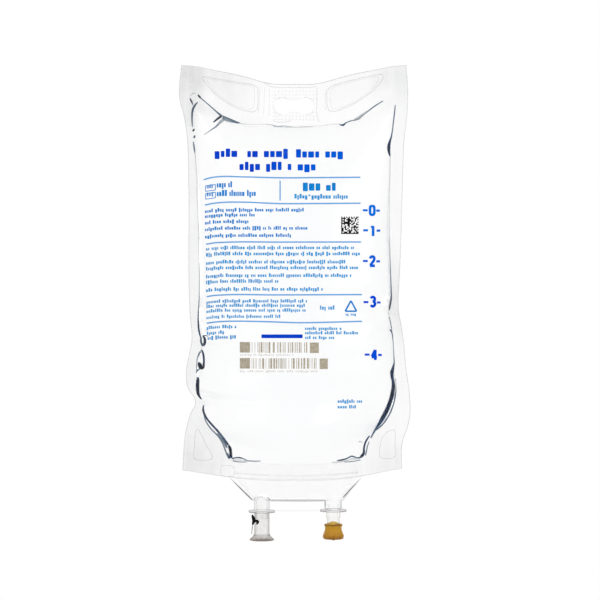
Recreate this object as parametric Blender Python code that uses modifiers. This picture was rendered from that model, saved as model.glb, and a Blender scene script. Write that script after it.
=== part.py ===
"""Half-litre IV fluid bag of clear film, hung upright from the slot in its header.

Metres, +Z up. The origin is on the upper edge of the hang slot, where a hook bears.
The printed side faces -Y, and +X is to the right of someone who reads it.
"""

import math

import bmesh
import bpy
import numpy as np

COLLECTION = "iv_fluid_bag"
CUTTERS = "cutters"

# Film bag
BAG_WIDTH = 0.127  # laid flat, over both side seals
SIDE_LENGTH = 0.2254  # side edge, from the top corner to the left bottom corner
SEAL_WIDTH = 0.009  # side seal, where it is widest
EDGE_DRAW = 0.0084  # how far the filled bag draws its side edges in, where it does so most
BOTTOM_SAG = 0.0059  # the middle of the bottom edge, below the left bottom corner
FILM_THICK = 0.0003
SEAT_GAP = 0.0003  # left between pieces that touch
HEADER_OVER_SLOT = 0.0077  # film above the slot, at the middle of the dipped top edge
TOP_DIP = 0.0107  # the middle of the top edge, below the corners
SEAL_UNDER_SLOT = 0.0157  # from the slot's upper edge down to the middle of the top seal
CELL_RISE = 0.0166  # the ears of the liquid cell, above the middle of the top seal
FILL_DEPTH = 0.0475  # front to back, where the full bag is thickest
FILL_CLEAR = 0.0005  # from the film to the liquid, straight through the bag
FILL_EDGE = 0.00005  # half the liquid's thickness in the thin ears

# Shares of the half width, and shares of TOP_DIP or CELL_RISE
TOP_EDGE = ((0, 0), (0.2, 0.04), (0.27, 0.12), (0.36, 0.28), (0.5, 0.5), (0.7, 0.74), (0.85, 0.92), (1, 1))
CELL_TOP = ((0, 0), (0.2, 0.03), (0.38, 0.06), (0.52, 0.12), (0.66, 0.27), (0.77, 0.5), (0.88, 0.78), (1, 1))
# Share of the half width, and share of BOTTOM_SAG
BOTTOM_EDGE = ((-1, 0), (-0.8, 0.34), (-0.62, 0.64), (0, 1), (0.6, 0.61), (0.8, 0.17), (1, -0.25))

# Share of the side's length from the top, and share of EDGE_DRAW
LEFT_DRAW = (
    (0, 0.071), (0.09, -0.012), (0.12, 0.214), (0.18, 0.464), (0.29, 0.56), (0.56, 0.595),
    (0.62, 0.655), (0.68, 0.774), (0.71, 0.631), (0.767, 0.393), (0.8, 0.536), (0.825, 0.988),
    (0.838, 1), (0.86, 0.714), (0.895, 0.429), (1, 0.155),
)
RIGHT_DRAW = (
    (0, 0.107), (0.06, 0), (0.116, 0.036), (0.185, 0.238), (0.29, 0.345), (0.48, 0.5),
    (0.556, 0.595), (0.6, 0.631), (0.635, 0.476), (0.67, 0.321), (0.75, 0.119), (0.82, -0.131),
    (0.87, -0.131), (0.9, 0.06), (0.925, 0.31), (1, 0.405),
)
# Share of the side's length from the top, and share of SEAL_WIDTH
LEFT_SEAL = (
    (0.078, 0.889), (0.12, 0.522), (0.18, 0.411), (0.29, 0.533), (0.437, 0.6), (0.556, 0.656),
    (0.62, 0.511), (0.69, 0.7), (0.72, 0.522), (0.767, 0.656), (0.81, 0.411), (0.835, 0.5),
)
RIGHT_SEAL = (
    (0.078, 0.933), (0.12, 0.867), (0.29, 0.789), (0.41, 0.8), (0.485, 0.611), (0.556, 0.478),
    (0.605, 0.589), (0.71, 0.667), (0.767, 0.744), (0.835, 1),
)
# Share of the side's length, and how far the cell has narrowed from its side to the saddle's tip
SHOULDER = ((0.835, 0), (0.87, 0.15), (0.897, 0.47), (0.922, 0.76), (0.945, 0.96), (0.977, 1))
# Share of the way from the top seal to the saddle, and share of the full half depth
FILL = ((0, 0), (0.045, 0.3), (0.11, 0.52), (0.22, 0.72), (0.4, 0.9), (0.6, 1), (0.78, 0.98), (0.9, 0.78))
ROUND_SIDE = 0.82  # power of the liquid's cross section; 1 is a parabola, and less is fuller
SADDLE_TAKEOVER = 8  # power by which the section becomes the saddle's parabola, low in the bag

# Gathers, where the full bag puckers its side seals: side, share of the side's length
PUCKERS = ((-1, 0.685), (-1, 0.831), (1, 0.605))
PUCKER_DEPTH = 0.3  # share of the bulge that a gather takes away
PUCKER_HALF = 0.016  # half of its height, as a share of the side's length
PUCKER_REACH = 0.016
SEAL_WAVE = 0.002  # how far the side seals wave out of the bag's plane at a gather
WAVE_LENGTH = 0.055  # share of the side's length

# Hang slot, a dog bone: two round ends joined by a narrower bridge
SLOT_WIDTH = 0.022
SLOT_END_R = 0.0045
SLOT_WAIST = 0.0062

# Raised fields of the header and the lower corners
RELIEF = 0.00035
PANEL_WIDTH = 0.026
PANEL_OVER_SLOT = 0.0056
PANEL_UNDER_SLOT = 0.0128
# Share of the half width, and share of the way from the cell's top edge to the film's
POCKET = (
    (0.33, 0.31), (0.48, 0.33), (0.6, 0.4), (0.7, 0.47), (0.775, 0.56), (0.8, 0.67), (0.7, 0.78),
    (0.5, 0.85), (0.33, 0.87),
)
# Share of the way across the wide lower seal, and share of the side's length
CORNER_POCKET = ((0.34, 0.968), (0.77, 0.968), (0.75, 0.908), (0.6, 0.899))

# Port saddle: weld band, funnel and floor
SADDLE_X = 0.0007
SADDLE_HALF = 0.0374
SADDLE_HALF_THICK = 0.0063
SADDLE_SAG = 0.00215  # the band's middle lies this much below its tips
SADDLE_OVER_CORNER = 0.0052
SADDLE_TIP_CLEAR = 0.0011
BAND_HEIGHT = 0.0089
FUNNEL_HEIGHT = 0.0133
FLOOR_X = 0.0021
FLOOR_HALF = 0.0255
FLOOR_HALF_THICK = 0.0058
SADDLE_WALL = 0.001
TIP_WALL = 0.0025
BOAT, BOX = 2.0, 0.4  # power of the section: pointed like a boat, or nearly square

# Ports
PORT_SPACING = 0.0398
PORTS_X = 0.002  # midway between the two ports
BORE_R = 0.0034  # of the medication port's stub
STUB_R = 0.00465
STUB_LENGTH = 0.0048
FLANGE_R = 0.0074
FLANGE_THICK = 0.0012

SET_TUBE_R = 0.0044
SET_TUBE_LENGTH = 0.0056  # from the funnel's floor down to its flange
SET_TUBE_PROUD = 0.0002  # straight part above the floor, under the dome
DOME_HEIGHT = 0.0017
MEMBRANE = 0.0009
SPIKE_BORE_R = 0.00305
NOSE_WALL = 0.0005
NOSE_LENGTH = 0.0036

CAP_WALL = 0.0004
CAP_LENGTH = 0.0154
CAP_FLARE_R = 0.0068
CAP_FLARE_HEIGHT = 0.0034
CAP_RIM = 0.0009
CAP_END = 0.0008
TAB_THICK = 0.0008
TAB_OUT = 0.0018  # how far the pull tab stands out from the cap
TAB_HEAD = 0.006
TAB_TAIL = 0.0005

SPIGOT_LENGTH = 0.0028
NECK_R = 0.00395
NECK_LENGTH = 0.0034
TIP_R = 0.00355
TIP_LENGTH = 0.0066
NECK_BORE_R = 0.00255
PLUG_SEAT_R = 0.0031  # the bore's wider mouth, which the stopper's plug fills
PLUG_SEAT_CLEAR = 0.0008  # free length of that mouth over the plug

STOPPER_UNDER_FLANGE = 0.0069
STOPPER_RIM_R = 0.00505
STOPPER_RIM = 0.0006
STOPPER_WAIST_R = 0.0046
STOPPER_BULGE_R = 0.00587
STOPPER_HEIGHT = 0.0085
STOPPER_CORNER = 0.0011
PLUG_PROUD = 0.0014
NUB_R = 0.0009
NUB = 0.0006

STRIP_THICK = 0.0008
STRIP_WIDTH = 0.004

# Mesh density
CELL_COLUMNS = 20
SIDE_CROWDING = 0.2  # how much closer the columns stand at the cell's sides
SEAL_COLUMNS = 2
HEADER_ROWS = 3
ROW_STOPS = (0, 0.12, 0.6, 0.85, 1)  # shares of the way down the cell, where the rows change pitch
ROW_COUNTS = (4, 8, 9, 4)
BAND_ROWS = 2
ROUND_STEPS = 24
RING_POINTS = 32

HALF = BAG_WIDTH / 2
CORNER_Z = HEADER_OVER_SLOT + TOP_DIP
SADDLE_TOP = CORNER_Z - SIDE_LENGTH + SADDLE_OVER_CORNER
FILM_OVER_SADDLE = SADDLE_HALF_THICK + SEAT_GAP
FILM_TIP = SADDLE_HALF + SADDLE_TIP_CLEAR
FUNNEL_TOP = SADDLE_TOP - BAND_HEIGHT
FLOOR_Z = FUNNEL_TOP - FUNNEL_HEIGHT
SET_X = PORTS_X - PORT_SPACING / 2
MED_X = PORTS_X + PORT_SPACING / 2
SET_FLANGE_Z = FLOOR_Z - SET_TUBE_LENGTH
MED_FLANGE_Z = FLOOR_Z - STUB_LENGTH - SEAT_GAP

CLEAR_FILM = ("clear_film", (0.93, 0.94, 0.95), 0.25, 0.35)
CLEAR_PLASTIC = ("clear_plastic", (0.88, 0.88, 0.9), 0.2, 0.45)
LIQUID = ("saline", (0.97, 0.98, 1.0), 0.02, 0.3)
AMBER = ("amber_rubber", (0.5, 0.26, 0.03), 0.5, 1.0)


def smooth(points, at):
    """The value at each place on a smooth curve through (place, value) points."""
    place, value = np.array(points, float).T
    slope = np.gradient(value, place)
    at = np.clip(at, place[0], place[-1])
    k = np.clip(np.searchsorted(place, at, side="right") - 1, 0, len(place) - 2)
    run = place[k + 1] - place[k]
    t = (at - place[k]) / run
    start = (2 * t**3 - 3 * t**2 + 1) * value[k] + (t**3 - 2 * t**2 + t) * run * slope[k]
    end = (3 * t**2 - 2 * t**3) * value[k + 1] + (t**3 - t**2) * run * slope[k + 1]
    return start + end


def film_edge(side, z):
    """X of the film's side edge at a height."""
    fall = (CORNER_Z - z) / SIDE_LENGTH
    draw = EDGE_DRAW * smooth(LEFT_DRAW if side < 0 else RIGHT_DRAW, fall)
    return side * (HALF - draw)


def cell_edge(side, z):
    """X of the liquid cell's side at a height."""
    fall = (CORNER_Z - z) / SIDE_LENGTH
    seal = SEAL_WIDTH * smooth(LEFT_SEAL if side < 0 else RIGHT_SEAL, fall)
    along = film_edge(side, z) - side * seal
    tip = SADDLE_X + side * FILM_TIP
    return along + (tip - along) * smooth(SHOULDER, fall)


def across(u, z):
    """X at a height, for u from -1 to 1 over the cell and out to -2 or 2 over the side seals."""
    left, right = cell_edge(-1, z), cell_edge(1, z)
    inside = left + (right - left) * (np.clip(u, -1, 1) + 1) / 2
    out_left = np.clip(-1 - u, 0, 1) * (film_edge(-1, z) - left)
    out_right = np.clip(u - 1, 0, 1) * (film_edge(1, z) - right)
    return inside + out_left + out_right


def top_edge(x):
    """Height of the film's dipped top edge."""
    return HEADER_OVER_SLOT + TOP_DIP * smooth(TOP_EDGE, np.abs(x) / HALF)


def cell_top(u):
    """Height of the cell's top edge, which hangs like a chain between its two ears."""
    return -SEAL_UNDER_SLOT + CELL_RISE * smooth(CELL_TOP, np.abs(u))


def saddle_top(x):
    """Height of the saddle's upper rim, over which the cell ends."""
    off = np.clip((x - SADDLE_X) / FILM_TIP, -1, 1)
    return SADDLE_TOP - SADDLE_SAG * (1 - off**2)


def bottom_edge(x):
    """Height of the film's bottom edge."""
    return CORNER_Z - SIDE_LENGTH - BOTTOM_SAG * smooth(BOTTOM_EDGE, x / HALF)


def crown(along):
    """Half depth of the full cell at its middle, from the top seal to the saddle."""
    share_at_saddle = (FILM_OVER_SADDLE - SEAT_GAP / 2) / (FILL_DEPTH / 2)
    return FILL_DEPTH / 2 * smooth(FILL + ((1, share_at_saddle),), along)


def gather(u, z):
    """For each place, the share of the bulge that the gathers leave, and how far the seal waves."""
    fall = (CORNER_Z - z) / SIDE_LENGTH
    kept, wave = np.ones_like(z), np.zeros_like(z)
    for side, at in PUCKERS:
        near = np.exp(-((np.clip(1 - side * u, 0, 2) * HALF / PUCKER_REACH) ** 2))
        kept -= PUCKER_DEPTH * near * np.exp(-(((fall - at) / PUCKER_HALF) ** 2))
        swing = np.sin((fall - at) / WAVE_LENGTH * 2 * math.pi)
        wave += SEAL_WAVE * swing * near * np.exp(-(((fall - at) / WAVE_LENGTH) ** 2))
    return kept, wave


def bag_grid():
    """X, height, bulge and wave at every crossing of the film's grid, rows from the top down."""
    t = np.linspace(-1, 1, CELL_COLUMNS + 1)
    cell = (1 - SIDE_CROWDING) * t + SIDE_CROWDING * np.sin(t * math.pi / 2)
    seal = np.linspace(1, 2, SEAL_COLUMNS + 1)[1:]
    u = np.concatenate([-seal[::-1], cell, seal])
    stretches = zip(ROW_STOPS, ROW_STOPS[1:], ROW_COUNTS)
    along = np.concatenate([np.linspace(a, b, n, endpoint=False) for a, b, n in stretches] + [[1.0]])
    header = np.linspace(1, 0, HEADER_ROWS + 1)[:-1]
    band = np.linspace(0, 1, BAND_ROWS + 1)[1:]
    inside = np.clip(u, -1, 1)
    high = cell_top(inside)
    low = saddle_top(across(inside, np.full_like(u, SADDLE_TOP)))
    rows = []
    for share in header:
        z = high + share * (top_edge(across(u, high)) - high)
        z = high + share * (top_edge(across(u, z)) - high)
        rows.append((z, np.zeros_like(u)))
    for share in along:
        z = high + share * (low - high)
        power = ROUND_SIDE + (1 - ROUND_SIDE) * share**SADDLE_TAKEOVER
        rows.append((z, crown(share) * np.maximum(1 - inside**2, 0) ** power))
    for share in band:
        z = low + share * (bottom_edge(across(u, low)) - low)
        over = FILM_OVER_SADDLE - SEAT_GAP / 2
        rows.append((z, over * np.maximum(1 - inside**2, 0)))
    z = np.array([row[0] for row in rows])
    bulge = np.array([row[1] for row in rows])
    kept, wave = gather(np.broadcast_to(u, z.shape), z)
    return across(u, z), z, bulge * kept, wave


def collection(name):
    made = bpy.data.collections.new(name)
    bpy.context.scene.collection.children.link(made)
    return made


def material(spec):
    """A Principled material from its name, colour, roughness and alpha."""
    name, colour, rough, alpha = spec
    found = bpy.data.materials.get(name)
    if found:
        return found
    made = bpy.data.materials.new(name)
    made.use_nodes = True
    shader = made.node_tree.nodes["Principled BSDF"]
    shader.inputs["Base Color"].default_value = (*colour, 1)
    shader.inputs["Roughness"].default_value = rough
    shader.inputs["Metallic"].default_value = 0
    shader.inputs["Alpha"].default_value = alpha
    return made


def add_object(name, data, spec=None, at=(0, 0, 0)):
    """A part with its material, or a cutter where no material is given."""
    made = bpy.data.objects.new(name, data)
    made.location = at
    bpy.data.collections[COLLECTION if spec else CUTTERS].objects.link(made)
    if spec:
        data.materials.append(material(spec))
    else:
        made.hide_render = True
        made.display_type = "WIRE"
    return made


def mesh_of(name, bm):
    bmesh.ops.recalc_face_normals(bm, faces=bm.faces[:])
    mesh = bpy.data.meshes.new(name)
    bm.to_mesh(mesh)
    bm.free()
    return mesh


def sheet(bm, x, y, z):
    """A grid of faces through rows of places."""
    rows, columns = x.shape
    made = bmesh.ops.create_grid(bm, x_segments=columns - 1, y_segments=rows - 1, size=1)["verts"]
    for vert, place in zip(made, zip(x.flat, y.flat, z.flat)):
        vert.co = place


def boolean(target, tool, operation):
    cut = target.modifiers.new(operation.lower(), "BOOLEAN")
    cut.operation = operation
    cut.solver = "EXACT"
    cut.object = tool


def turned(name, profile, spec=None, at=(0, 0, 0), steps=ROUND_STEPS, loop=False):
    """A turned solid from (radius, height) points that run down its outer side."""
    mesh = bpy.data.meshes.new(name)
    edges = [(k, k + 1) for k in range(len(profile) - 1)]
    if loop:
        edges.append((len(profile) - 1, 0))
    mesh.from_pydata([(r, 0, z) for r, z in profile], edges, [])
    made = add_object(name, mesh, spec, at)
    screw = made.modifiers.new("turn", "SCREW")
    screw.axis = "Z"
    screw.steps = screw.render_steps = steps
    screw.use_merge_vertices = True
    screw.merge_threshold = 0.00001
    screw.use_smooth_shade = True
    return made


def cylinder(name, x, radius, top, bottom):
    """An upright cylinder that cuts or joins."""
    bm = bmesh.new()
    bmesh.ops.create_cone(
        bm, cap_ends=True, segments=ROUND_STEPS, radius1=radius, radius2=radius, depth=top - bottom
    )
    return add_object(name, mesh_of(name, bm), at=(x, 0, (top + bottom) / 2))


def slab(name, outline, near, far):
    """A flat outline in the bag's plane, given thickness from one y to another."""
    curve = bpy.data.curves.new(name, "CURVE")
    curve.dimensions = "2D"
    curve.fill_mode = "BOTH"
    curve.extrude = abs(far - near) / 2
    spline = curve.splines.new("POLY")
    spline.points.add(len(outline) - 1)
    for point, (x, z) in zip(spline.points, outline):
        point.co = (x, z, 0, 1)
    spline.use_cyclic_u = True
    drawn = bpy.data.objects.new(name, curve)
    bpy.context.scene.collection.objects.link(drawn)
    drawn.rotation_euler = (math.pi / 2, 0, 0)
    drawn.location = (0, (near + far) / 2, 0)
    bpy.context.view_layer.update()
    mesh = bpy.data.meshes.new_from_object(drawn.evaluated_get(bpy.context.evaluated_depsgraph_get()))
    placed = drawn.matrix_world.copy()
    bpy.data.objects.remove(drawn)
    bm = bmesh.new()
    bm.from_mesh(mesh)
    bmesh.ops.remove_doubles(bm, verts=bm.verts[:], dist=0.000001)
    made = add_object(name, mesh_of(name, bm))
    made.matrix_world = placed
    return made


def arc(x, z, radius, start, end, count):
    """Points on an arc in the bag's plane, from one angle to another, in degrees."""
    turns = np.radians(np.linspace(start, end, count))
    return [(x + radius * math.cos(a), z + radius * math.sin(a)) for a in turns]


def slot_outline():
    """The dog bone, its round ends level with the origin and its waist sunk between them."""
    end_x = SLOT_WIDTH / 2 - SLOT_END_R
    middle = -SLOT_END_R
    lean = math.degrees(math.asin(SLOT_WAIST / 2 / SLOT_END_R))
    right = arc(end_x, middle, SLOT_END_R, -180 + lean, 180 - lean, 13)
    left = arc(-end_x, middle, SLOT_END_R, lean, 360 - lean, 13)
    return right + left


def panel_outline():
    half = PANEL_WIDTH / 2
    return [
        (-half, -PANEL_UNDER_SLOT),
        (half, -PANEL_UNDER_SLOT),
        (half, PANEL_OVER_SLOT),
        (-half, PANEL_OVER_SLOT),
    ]


def pocket_outline(side):
    """The crescent left unsealed between the cell's top edge and the film's."""
    outline = []
    for share, up in POCKET:
        x = side * share * HALF
        low = cell_top(x / abs(cell_edge(side, CORNER_Z - HEADER_OVER_SLOT)))
        outline.append((x, low + up * (top_edge(x) - low)))
    return outline


def corner_outline(side):
    """The pocket left unsealed in a lower corner."""
    outline = []
    for share, fall in CORNER_POCKET:
        z = CORNER_Z - fall * SIDE_LENGTH
        inner = cell_edge(side, z)
        outline.append((inner + share * (film_edge(side, z) - inner), z))
    return outline


def film(name, front):
    """One film sheet: the bulged cell, its flat seals, the raised fields and the slot."""
    sign = -1 if front else 1
    x, z, bulge, wave = bag_grid()
    bm = bmesh.new()
    sheet(bm, x, wave + sign * (bulge + SEAT_GAP / 2), z)
    if front:
        bmesh.ops.reverse_faces(bm, faces=bm.faces[:])
    mesh = bpy.data.meshes.new(name)
    bm.to_mesh(mesh)
    bm.free()
    mesh.shade_smooth()
    made = add_object(name, mesh, CLEAR_FILM)
    shell = made.modifiers.new("film", "SOLIDIFY")
    shell.thickness = FILM_THICK
    shell.offset = 1
    near = sign * (SEAT_GAP / 2 + FILM_THICK / 2)
    far = sign * (SEAT_GAP / 2 + FILM_THICK + RELIEF)
    fields = [("panel", panel_outline())]
    for side, word in ((-1, "left"), (1, "right")):
        fields.append((f"{word}_pocket", pocket_outline(side)))
        fields.append((f"{word}_corner_pocket", corner_outline(side)))
    for word, outline in fields:
        boolean(made, slab(f"{name}_{word}", outline, near, far), "UNION")
    reach = 10 * (FILM_THICK + RELIEF)
    boolean(made, slab(f"{name}_slot", slot_outline(), -reach, reach), "DIFFERENCE")
    return made


def ring(half, thick, power, x, z, sag=0):
    """One section of the saddle, from its right tip round: boat shaped, oval or nearly square."""
    turns = np.linspace(0, 2 * math.pi, RING_POINTS, endpoint=False)
    ahead, aside = np.cos(turns), np.sin(turns)
    y = thick * np.sign(aside) * np.abs(aside) ** power
    return [(x + half * c, v, z - sag * (1 - c * c)) for c, v in zip(ahead, y)]


def loft(name, rings, spec=None):
    """A closed solid through sections with equal numbers of points, with both ends capped."""
    bm = bmesh.new()
    skin = [[bm.verts.new(point) for point in section] for section in rings]
    for here, there in zip(skin, skin[1:]):
        for k in range(len(here)):
            after = (k + 1) % len(here)
            bm.faces.new((here[k], here[after], there[after], there[k]))
    bm.faces.new(skin[0])
    bm.faces.new(skin[-1])
    return add_object(name, mesh_of(name, bm), spec)


def funnel_rings(inset, tip_inset, top, floor):
    """Sections from the band's upper rim down to the funnel's floor, drawn in by a wall."""
    half, thick = SADDLE_HALF - tip_inset, SADDLE_HALF_THICK - inset
    end_half, end_thick = FLOOR_HALF - inset, FLOOR_HALF_THICK - inset
    rings = [
        ring(half, thick, BOAT, SADDLE_X, top, SADDLE_SAG),
        ring(half, thick, BOAT, SADDLE_X, FUNNEL_TOP, SADDLE_SAG),
    ]
    for share in (0.35, 0.7, 1):
        rings.append(
            ring(
                half + share * (end_half - half),
                thick + share * (end_thick - thick),
                BOAT + share * (BOX - BOAT),
                SADDLE_X + share * (FLOOR_X - SADDLE_X),
                FUNNEL_TOP + share * (floor - FUNNEL_TOP),
                SADDLE_SAG * (1 - share),
            )
        )
    return rings


def port_saddle():
    """The weld band, the hollow funnel and the medication port's stub, moulded in one."""
    inner_floor = FLOOR_Z + SADDLE_WALL
    outside = funnel_rings(0, 0, SADDLE_TOP, FLOOR_Z)
    inside = funnel_rings(SADDLE_WALL, TIP_WALL, SADDLE_TOP, inner_floor)
    saddle = loft("port_saddle", outside[::-1] + inside, CLEAR_PLASTIC)
    saddle.data.shade_smooth()
    stub_top = FLOOR_Z + SADDLE_WALL / 2
    boolean(saddle, cylinder("stub", MED_X, STUB_R, stub_top, FLOOR_Z - STUB_LENGTH), "UNION")
    over, under = inner_floor + SADDLE_WALL, FLOOR_Z - STUB_LENGTH - SADDLE_WALL
    boolean(saddle, cylinder("stub_bore", MED_X, BORE_R, over, under), "DIFFERENCE")
    hole_r = SET_TUBE_R + SEAT_GAP
    boolean(saddle, cylinder("set_tube_hole", SET_X, hole_r, over, FLOOR_Z - SADDLE_WALL), "DIFFERENCE")
    return saddle


def dome(radius, base, height, count=5):
    """Profile of a dome from its top down to its base, base excluded."""
    angles = np.linspace(math.pi / 2, 0, count, endpoint=False)
    return [(radius * math.cos(a), base + height * math.sin(a)) for a in angles]


def set_port_tube():
    """The tube that takes the spike: domed membrane, flange and nose."""
    base = FLOOR_Z + SADDLE_WALL + SET_TUBE_PROUD
    flange_bottom = SET_FLANGE_Z - FLANGE_THICK
    nose_r = SPIKE_BORE_R + NOSE_WALL
    nose_end = flange_bottom - NOSE_LENGTH
    roof = base + DOME_HEIGHT - MEMBRANE
    profile = [(0, base + DOME_HEIGHT)] + dome(SET_TUBE_R, base, DOME_HEIGHT)[1:]
    profile += [
        (SET_TUBE_R, base),
        (SET_TUBE_R, SET_FLANGE_Z),
        (FLANGE_R, SET_FLANGE_Z),
        (FLANGE_R, flange_bottom),
        (nose_r, flange_bottom),
        (nose_r, nose_end),
        (SPIKE_BORE_R, nose_end),
        (SPIKE_BORE_R, base - MEMBRANE),
        (SPIKE_BORE_R * 0.7, roof - MEMBRANE / 3),
        (0, roof),
    ]
    return turned("set_port_tube", profile, CLEAR_PLASTIC, at=(SET_X, 0, 0))


def set_port_protector():
    """The clear cap that is pulled off the nose, with its flared grip and its pull tab."""
    top = SET_FLANGE_Z - FLANGE_THICK - SEAT_GAP
    inner = SPIKE_BORE_R + NOSE_WALL + SEAT_GAP
    outer = inner + CAP_WALL
    bottom = top - CAP_LENGTH
    flare_top = bottom + CAP_RIM + CAP_FLARE_HEIGHT
    profile = [
        (0, bottom + CAP_END - top),
        (inner, bottom + CAP_END - top),
        (inner, 0),
        (outer, 0),
        (outer, flare_top - top),
        ((outer + CAP_FLARE_R) / 2, (flare_top + bottom + CAP_RIM) / 2 - CAP_RIM / 2 - top),
        (CAP_FLARE_R, bottom + CAP_RIM - top),
        (CAP_FLARE_R, bottom + CAP_RIM / 3 - top),
        (CAP_FLARE_R - CAP_RIM, bottom - top),
        (0, bottom - top),
    ]
    cap = turned("set_port_protector", profile, CLEAR_PLASTIC, at=(SET_X, 0, top))
    edge = SET_X - outer
    out = edge - TAB_OUT
    root = edge + CAP_WALL / 2
    head_top = top - CAP_WALL
    head_bottom = head_top - TAB_HEAD
    outline = [
        (out, head_top),
        (root, head_top - TAB_OUT),
        (root, head_bottom + TAB_OUT / 3),
        (out + TAB_TAIL, head_bottom),
        (out + TAB_TAIL, bottom + CAP_RIM),
        (out, bottom + CAP_RIM),
    ]
    tab = slab("pull_tab", outline, -TAB_THICK / 2, TAB_THICK / 2)
    boolean(cap, tab, "UNION")
    return cap


def medication_port_tube():
    """The spigot in the stub, the flange under it and the stepped neck that holds the stopper."""
    spigot_r = BORE_R - SEAT_GAP
    flange_bottom = MED_FLANGE_Z - FLANGE_THICK
    step = flange_bottom - NECK_LENGTH
    seat_top = flange_bottom - STOPPER_UNDER_FLANGE + PLUG_PROUD + PLUG_SEAT_CLEAR
    profile = [
        (spigot_r, MED_FLANGE_Z + SPIGOT_LENGTH),
        (spigot_r, MED_FLANGE_Z),
        (FLANGE_R, MED_FLANGE_Z),
        (FLANGE_R, flange_bottom),
        (NECK_R, flange_bottom),
        (NECK_R, step),
        (TIP_R, step),
        (TIP_R, step - TIP_LENGTH),
        (PLUG_SEAT_R, step - TIP_LENGTH),
        (PLUG_SEAT_R, seat_top),
        (NECK_BORE_R, seat_top + PLUG_SEAT_R - NECK_BORE_R),
        (NECK_BORE_R, MED_FLANGE_Z + SPIGOT_LENGTH),
    ]
    return turned("medication_port_tube", profile, CLEAR_PLASTIC, at=(MED_X, 0, 0), loop=True)


def medication_port_stopper():
    """The rubber stopper: a plug inside the neck, a groove round it and a waisted body."""
    rim = MED_FLANGE_Z - FLANGE_THICK - STOPPER_UNDER_FLANGE
    groove = MED_FLANGE_Z - FLANGE_THICK - NECK_LENGTH - TIP_LENGTH - SEAT_GAP
    plug_r = PLUG_SEAT_R - SEAT_GAP
    groove_r = TIP_R + SEAT_GAP
    bottom = rim - STOPPER_HEIGHT
    bulge_z = bottom + 2 * STOPPER_CORNER
    waist_z = rim - 3 * STOPPER_RIM
    profile = [(0, rim + PLUG_PROUD)] + dome(plug_r, rim, PLUG_PROUD)[1:]
    profile += [
        (plug_r, rim),
        (plug_r, groove),
        (groove_r, groove),
        (groove_r, rim),
        (STOPPER_RIM_R, rim),
        (STOPPER_RIM_R, rim - STOPPER_RIM),
        (STOPPER_WAIST_R, waist_z),
        (STOPPER_WAIST_R + 0.25 * (STOPPER_BULGE_R - STOPPER_WAIST_R), (waist_z + bulge_z) / 2),
        (STOPPER_BULGE_R - STOPPER_CORNER / 4, bulge_z + STOPPER_CORNER / 2),
        (STOPPER_BULGE_R, bulge_z),
        (STOPPER_BULGE_R - STOPPER_CORNER / 5, bottom + STOPPER_CORNER / 2),
        (STOPPER_BULGE_R - STOPPER_CORNER, bottom),
        (NUB_R, bottom),
        (NUB_R, bottom - NUB),
        (0, bottom - NUB),
    ]
    return turned("medication_port_stopper", profile, AMBER, at=(MED_X, 0, 0))


def port_tie_strip():
    """The thin strip that ties the two flanges together."""
    start = SET_X + FLANGE_R + SEAT_GAP
    end = MED_X - FLANGE_R - SEAT_GAP
    middle = (SET_FLANGE_Z + MED_FLANGE_Z - FLANGE_THICK) / 2
    bm = bmesh.new()
    bmesh.ops.create_cube(bm, size=1)
    bmesh.ops.scale(bm, vec=(end - start, STRIP_WIDTH, STRIP_THICK), verts=bm.verts[:])
    mesh = mesh_of("port_tie_strip", bm)
    return add_object("port_tie_strip", mesh, CLEAR_PLASTIC, at=((start + end) / 2, 0, middle))


def between(rows):
    """The grid's inner rows, with a last row halfway to each border row."""
    first = (rows[:1] + rows[1:2]) / 2
    last = (rows[-1:] + rows[-2:-1]) / 2
    return np.concatenate([first, rows[1:-1], last])


def saline_solution():
    """The liquid: the cell's fill and the funnel's, joined."""
    cell = (slice(HEADER_ROWS, -BAND_ROWS), slice(SEAL_COLUMNS, -SEAL_COLUMNS))
    x, z, bulge, wave = (between(between(part[cell]).T).T for part in bag_grid())
    deep = np.maximum(bulge + SEAT_GAP / 2 - FILL_CLEAR, FILL_EDGE)
    bm = bmesh.new()
    sheet(bm, x, wave - deep, z)
    sheet(bm, x, wave + deep, z)
    rim = [edge for edge in bm.edges if edge.is_boundary]
    bmesh.ops.bridge_loops(bm, edges=rim)
    fill = add_object("saline_solution", mesh_of("saline_solution", bm), LIQUID)
    fill.data.shade_smooth()
    inset = SADDLE_WALL + SEAT_GAP
    wide = TIP_WALL + 3 * SEAT_GAP
    high = SADDLE_TOP + BAND_HEIGHT / 2
    boolean(fill, loft("funnel_fill", funnel_rings(inset, wide, high, FLOOR_Z + inset)), "UNION")
    room_top = FLOOR_Z + SADDLE_WALL + SET_TUBE_PROUD + DOME_HEIGHT + SEAT_GAP
    room_right = SET_X + SET_TUBE_R + SEAT_GAP
    room_left = FLOOR_X - FLOOR_HALF
    room_outline = [
        (room_left, room_top),
        (room_left, FLOOR_Z),
        (room_right, FLOOR_Z),
        (room_right, room_top),
    ]
    reach = 2 * FLOOR_HALF_THICK
    boolean(fill, slab("over_set_tube", room_outline, -reach, reach), "DIFFERENCE")
    return fill


def main():
    for old in list(bpy.data.objects):
        bpy.data.objects.remove(old)
    collection(COLLECTION)
    collection(CUTTERS)
    film("front_film", True)
    film("back_film", False)
    saline_solution()
    port_saddle()
    set_port_tube()
    set_port_protector()
    medication_port_tube()
    medication_port_stopper()
    port_tie_strip()


main()
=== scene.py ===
"""Looks of a filled half-litre IV fluid bag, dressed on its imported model.

Metres, +Z up, the hang slot's upper edge at the origin, the printed side towards -Y.
The film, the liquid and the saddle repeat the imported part's curves on a finer grid.
"""

import math
import random

import bmesh
import bpy
import numpy as np
from mathutils import Matrix, Vector
from mathutils.bvhtree import BVHTree

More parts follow.
